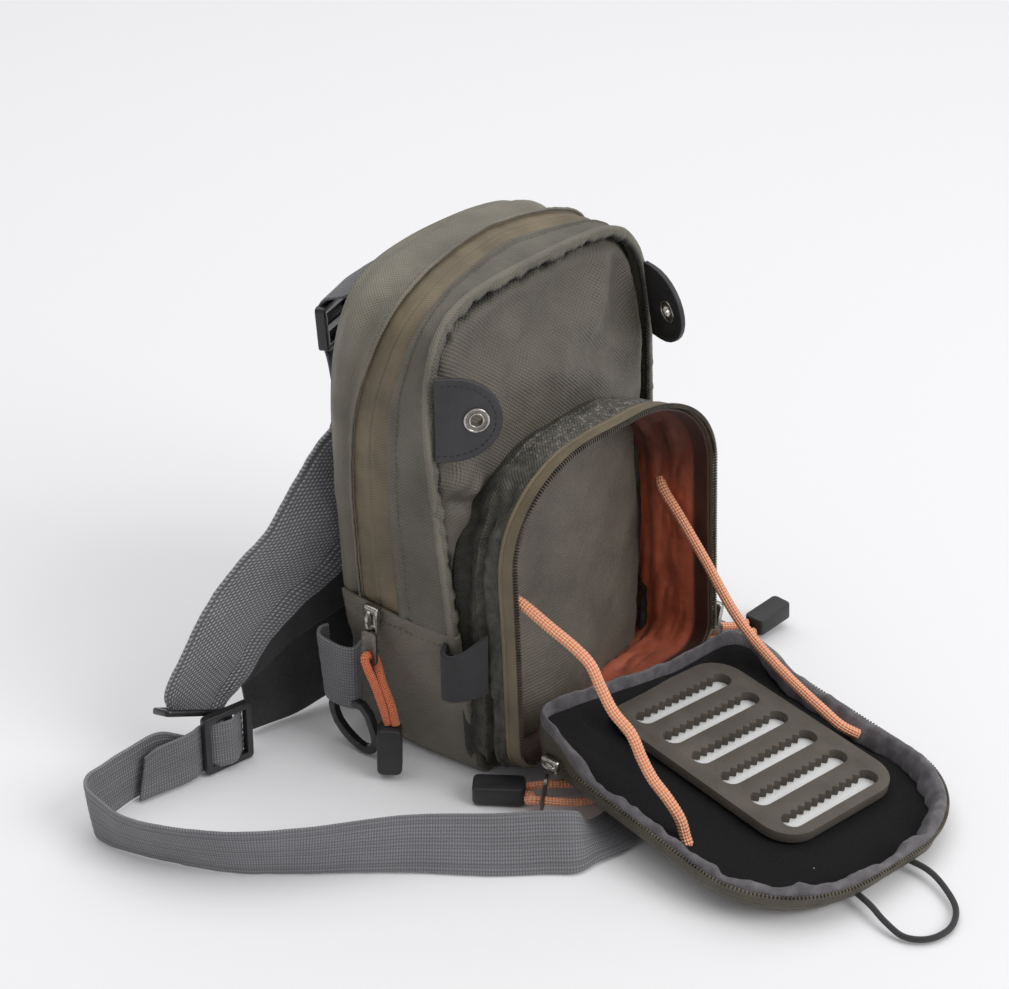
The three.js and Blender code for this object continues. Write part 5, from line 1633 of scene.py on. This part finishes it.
def add_lid():
    below = LID_PLACE @ Vector((0, -LID["height"] / 2, -60))
    above = LID_PLACE @ Vector((0, -LID["height"] / 2, 60))
    middle = LID_PLACE @ Vector((0, -LID["height"] / 2, 0))

    shell = lid_disc(4.4, -LID_DEPTH + 0.1)
    piece = cloth("lid_shell_cloth", shell, 240, 20, CLOTH, above, closed=True)
    dress(piece, BASE_SHELL, "shell", "lid_shell")
    sewn(piece, "stretched", ["lid_wall"])

    def wall(u, w):
        lift = 0.9 * rim_lift(LID_ARCH.at(u)) * w
        return lid_point(u, 4.2 * (1 - w) ** 2 + 0.4 * w, mix(-LID_DEPTH + 0.6, -0.9, w) + lift)

    def wall_relief(u, w):
        rib = 0.4 * bell(w, 0.62, 0.1) - 0.5 * bell(w, 0.46, 0.06)
        return rib + 0.5 * rough(wall(u, w), 12, 5.5)

    piece = cloth("lid_wall_cloth", wall, 340, 20, TAPE, middle, wall_relief, closed=True)
    dress(piece, LID_TAPE, "tape", "lid_wall")

    route = [lid_point(ring_share(i / 90), 0.5, -0.4) for i in range(91)]
    out = LID_TURN.to_3x3()
    piece = teeth(
        "lid_zip_teeth", route, 1.6, (0.95, 2.2, 1.5),
        lambda share, here: out @ (lid_local(ring_share(share), 4, 0) - lid_local(ring_share(share), 0, 0)),
    )
    dress(piece, LID_TEETH, "teeth", "lid_zip_coil")

    piece = cloth("lid_rim_cloth", rim_surface, 460, 24, LINING, below, closed=True)
    dress(piece, RIM, "rim", "lid_rim_lining")
    sewn(piece, "gathered", ["lid_wall"])

    floor = lid_disc(4.0, -LID_DEPTH + 2 * CLOTH + GAP, 1.0)

    def floor_relief(u, w):
        return 0.6 * rough(floor(u, w), 24, 2.0) + 0.12 * rough(floor(u, w), 2.5, 5.0)

    piece = cloth("lid_floor_cloth", floor, 180, 40, CLOTH, below, floor_relief, closed=True)
    dress(piece, FLEECE, "fleece", "lid_floor")
    sewn(piece, "laid", ["lid_shell"])

    def flap(u, w):
        share = mix(0.055, -0.055, u)
        start = pocket_point(share % 1.0, TAPE_START)
        end = lid_point(share % 1.0, -1.4, -LID_DEPTH + 1)
        sag = Vector((0, 0, -1.2 * math.sin(math.pi * w)))
        return start.lerp(end, w) + sag

    piece = cloth("lid_hinge_cloth", flap, 60, 12, CLOTH, POCKET_MIDDLE)
    dress(piece, BASE_SHELL, "shell", "lid_hinge")
    sewn(piece, "folded", ["pocket_gusset"])

    piece = from_solid("foam_patch", "foam_patch_block", 0.45, 2)
    dress(piece, FOAM, "foam", "foam_patch")
    piece = from_solid("foam_base", "foam_base_sheet", 0.3, 2)
    centre = sum((v.co for v in piece.data.vertices), Vector()) / len(piece.data.vertices)
    shrink = Matrix.Scale(FOAM_BASE_FIT, 4)
    piece.data.transform(Matrix.Translation(centre) @ shrink @ Matrix.Translation(-centre))
    dress(piece, WHITE_FOAM, "foam_base", "foam_base")


# Straps

def strap_y(x):
    run = STRAP_PLANE["y"] + STRAP_PLANE["slope"] * (x - STRAP_PLANE["x"])
    return max(STRAP_PLANE["nearest"], run)


def strap_point(edge, back=0.0):
    return Vector((edge[0], strap_y(edge[0]) + back, edge[1]))


def pad_rows():
    back = (WEBBING + STRAP_PAD) / 2 + PAD_CLEARANCE
    rows = []
    for outer_edge, inner_edge, lap in STRAP_EDGES:
        outer = strap_point(outer_edge, back)
        inner = strap_point(inner_edge, back)
        across = (outer - inner).normalized()
        rows.append((outer - across * PAD_SETBACK, inner - across * (lap + PAD_LAP)))
    return rows


def strap_relief(u, w):
    """A padded crown with grooves along its edges and soft creases across."""
    grooves = sum(bell(w, place, 0.014) for place in (0.05, 0.74, 0.80, 0.86, 0.93))
    creases = 1.2 * rough((u * 200, w * 40, 0), 26, 3.0) + 0.3 * rough((u * 200, w * 40, 0), 8, 6.0)
    return 1.6 * math.sin(math.pi * w) - 0.8 * grooves + creases


def add_straps():
    behind = Vector((-60, 200, 60))
    rows = [row[:2] for row in STRAP_EDGES] + STRAP_END
    edges = [(strap_point(outer), strap_point(inner)) for outer, inner in rows]
    piece = strap("shoulder_strap_web", edges, 150, 60, WEBBING, behind, strap_relief)
    dress(piece, STRAP_WEAVE, "webbing", "shoulder_strap_face")
    piece = strap("shoulder_strap_padding", pad_rows(), 64, 18, PAD_COVER, behind)
    swell(piece, PAD_SWELL)
    dress(piece, PAD, "padding", "shoulder_strap_pad")
    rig.padded(piece, fill=0.5)
    piece = strap("second_strap_padding", SECOND_EDGES, 54, 20, PAD_COVER, BODY_MIDDLE)
    swell(piece, PAD_SWELL)
    dress(piece, PAD, "padding", "second_strap_pad")
    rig.padded(piece, fill=0.5)

    def waist_relief(u, w):
        return ribbed(7, 0.35)(u, w) + 0.5 * rough((u * 760, w * 25, 0), 30, 4.0)

    piece = strap("waist_web", WAIST_EDGES, 300, 57, WEBBING - 0.3, Vector((-120, 20, 15)), waist_relief)
    dress(piece, GREY_WEB, "webbing", "waist_webbing")
    for name, edges, node, columns in (
        ("top_web", TOP_EDGES, "top_webbing", 40),
        ("adjuster_web", ADJUSTER_EDGES, "adjuster_webbing", 40),
        ("tail_web", TAIL_EDGES, "webbing_tail", 90),
    ):
        piece = strap(name, edges, columns, 57, WEBBING - 0.3, BODY_MIDDLE, ribbed(7, 0.35))
        dress(piece, GREY_WEB, "webbing", node)
    piece = strap("gear_loop_elastic", GEAR_EDGES, 110, 28, WEBBING, BODY_MIDDLE)
    dress(piece, GEAR_ELASTIC, "tab", "gear_loop")
    piece = strap("hook_loop_web", HOOK_EDGES, 110, 33, WEBBING - 0.3, Vector((-84, 28, 38)), ribbed(4, 0.35))
    dress(piece, GREY_WEB, "webbing", "hook_loop")


# Fittings

def add_buckles():
    for node, name in (
        ("top_buckle", "top_buckle_frame"), ("strap_ring", "strap_ring_frame"),
        ("strap_slider", "strap_slider_frame"), ("snap_hook", "snap_hook_body"),
    ):
        piece = from_solid(node, name, 1.0, 3)
        dress(piece, PLASTIC, "plastic", node)


def tab_border(origin, out, seam, side):
    """The stitched line inside the tab's edge."""
    place = axes(origin, out, seam)
    half = TAB["width"] / 2 - TAB["border"]
    reach = TAB["length"] - TAB["straight"] - TAB["border"]

    def surface(u, w):
        if u < 0.2:
            spot = Vector((TAB["straight"] * u / 0.2, -half, 0))
        elif u > 0.8:
            spot = Vector((TAB["straight"] * (1 - u) / 0.2, half, 0))
        else:
            turn = math.radians(mix(-90, 90, (u - 0.2) / 0.6))
            spot = Vector((TAB["straight"] + reach * math.cos(turn), half * math.sin(turn), 0))
        spot.z = side * TAB["thickness"] / 2
        spot.x += (w - 0.5) * 2
        return place @ (spot * MM) / MM
    return surface


def hoop(radius, wire, sides, flatness, height):
    """A ring of wire round the eyelet's axis, pressed flat."""
    deselect()
    bpy.ops.mesh.primitive_torus_add(
        major_segments=40, minor_segments=sides, major_radius=radius * MM, minor_radius=wire * MM,
    )
    ring = named("hoop")
    ring.data.transform(Matrix.Diagonal((1, 1, flatness, 1)))
    ring.data.transform(Matrix.Translation((0, 0, height * MM)))
    return ring


def add_tool_tabs():
    for side, (origin, out, seam) in TOOL_TABS.items():
        piece = from_solid(f"tool_tab_{side}", f"tool_tab_{side}_leather", 0.7, 3)
        dress(piece, LEATHER, "tab", f"tool_tab_{side}")
        for face, word in ((1, "front"), (-1, "back")):
            line = stitches(
                f"tool_tab_{side}_{word}_stitches", tab_border(origin, out, seam, face), lambda t: (t, 0.5),
                2.7, origin + out * 14, length=2.0, radius=0.28, lift=0.05,
            )
            dress(line, DARK_THREAD, "tab")
        front = TAB["thickness"] / 2
        place = axes(origin + out.normalized() * TAB["eyelet"], out, seam)
        rims = [
            hoop(radius, wire, 12, 1.0, face * (front + 0.25))
            for face in (1, -1) for radius, wire in ((4.9, 0.55), (BARREL_RADIUS, 0.4))
        ]
        deselect()
        bpy.ops.mesh.primitive_cylinder_add(
            vertices=40, radius=BARREL_RADIUS * MM, depth=3.2 * MM, end_fill_type="NOTHING",
        )
        barrel = named("barrel")
        apply(barrel, "SOLIDIFY", thickness=0.4 * MM)
        eyelet = join([*rims, barrel], f"eyelet_{side}_ring")
        settle(eyelet, place)
        smooth(eyelet, 50)
        dress(eyelet, STEEL, "metal", f"eyelet_{side}")
        dishes = [hoop(3.9, 1.1, 8, 0.14, face * (front + 0.1)) for face in (1, -1)]
        dish = join(dishes, f"eyelet_{side}_dish")
        settle(dish, place)
        smooth(dish, 50)
        dress(dish, GUN_METAL, "metal")


def slider_body(name, place, size):
    """A zip slider: a waisted body with a bridge for the pull."""
    body = block(name, (SLIDER["length"], SLIDER["width"], SLIDER["height"]), 1.3, 3)
    for vertex in body.data.vertices:
        share = vertex.co.x / (SLIDER["length"] * MM) + 0.5
        vertex.co.y *= mix(0.72, 1.0, ramp(share, 0.1, 0.75))
    deselect()
    bpy.ops.mesh.primitive_torus_add(
        major_segments=24, minor_segments=10, major_radius=3.4 * MM, minor_radius=0.8 * MM,
        rotation=(math.pi / 2, 0, 0),
    )
    bridge = named(name + "_bridge")
    bpy.ops.object.transform_apply(location=False, rotation=True, scale=False)
    bridge.data.transform(Matrix.Diagonal((1.25, 1.3, 0.75, 1)))
    bridge.data.transform(Matrix.Translation((0, 0, SLIDER["height"] / 2 * MM)))
    piece = join([body, bridge], name)
    settle(piece, place @ Matrix.Scale(size, 4))
    smooth(piece, 40)
    return piece


def add_pulls():
    for side, (origin, along, across) in SLIDERS.items():
        piece = slider_body(f"{side}_slider_body", axes(origin, along, across), SLIDER_SIZES[side])
        dress(piece, STEEL, "metal", f"{side}_pull_slider")
        tab = from_solid(f"{side}_pull_tab", f"{side}_pull_plate", 0.4, 2)
        dress(tab, GUN_METAL, "metal", f"{side}_pull_tab")
        plug = from_solid(f"{side}_pull_end", f"{side}_pull_plug", 1.1, 3)
        dress(plug, PLUG, "plastic", f"{side}_pull_end")


# Floor and light

def add_studio():
    deselect()
    bpy.ops.mesh.primitive_plane_add(size=FLOOR_SIZE)
    floor = named("floor")
    f = Finish("studio_floor", 0.75, specular=0.25)
    f.set("Base Color", (0.90, 0.893, 0.905, 1))
    floor.data.materials.append(f.material)
    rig.stage(floor)
    scene = bpy.context.scene
    scene.view_settings.view_transform = "Standard"
    scene.world = bpy.data.worlds.new("studio")
    scene.world.use_nodes = True
    backdrop = scene.world.node_tree.nodes["Background"]
    backdrop.inputs["Color"].default_value = (0.98, 0.985, 1.0, 1)
    backdrop.inputs["Strength"].default_value = 0.42
    for name, spot, size, power in (
        ("key", (0.3, -2.6, 2.0), 1.8, 44),
        ("top", (0.7, 0.6, 3.0), 4.4, 67),
    ):
        data = bpy.data.lights.new(name, "AREA")
        data.energy = power
        data.size = size
        lamp = bpy.data.objects.new(name, data)
        lamp.location = spot
        lamp.rotation_euler = (LIGHT_TARGET - Vector(spot)).to_track_quat("-Z", "Y").to_euler()
        scene.collection.objects.link(lamp)


add_camera()
add_cords()
add_gussets()
add_base()
add_front_panel()
add_back_panel()
add_pocket()
add_lid()
add_straps()
add_buckles()
add_tool_tabs()
add_pulls()
add_studio()

visual_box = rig.bounds()
with open("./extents.json", "w") as size_file:
    json.dump({"cad": [list(c) for c in cad_box], "visual": [list(c) for c in visual_box]}, size_file)
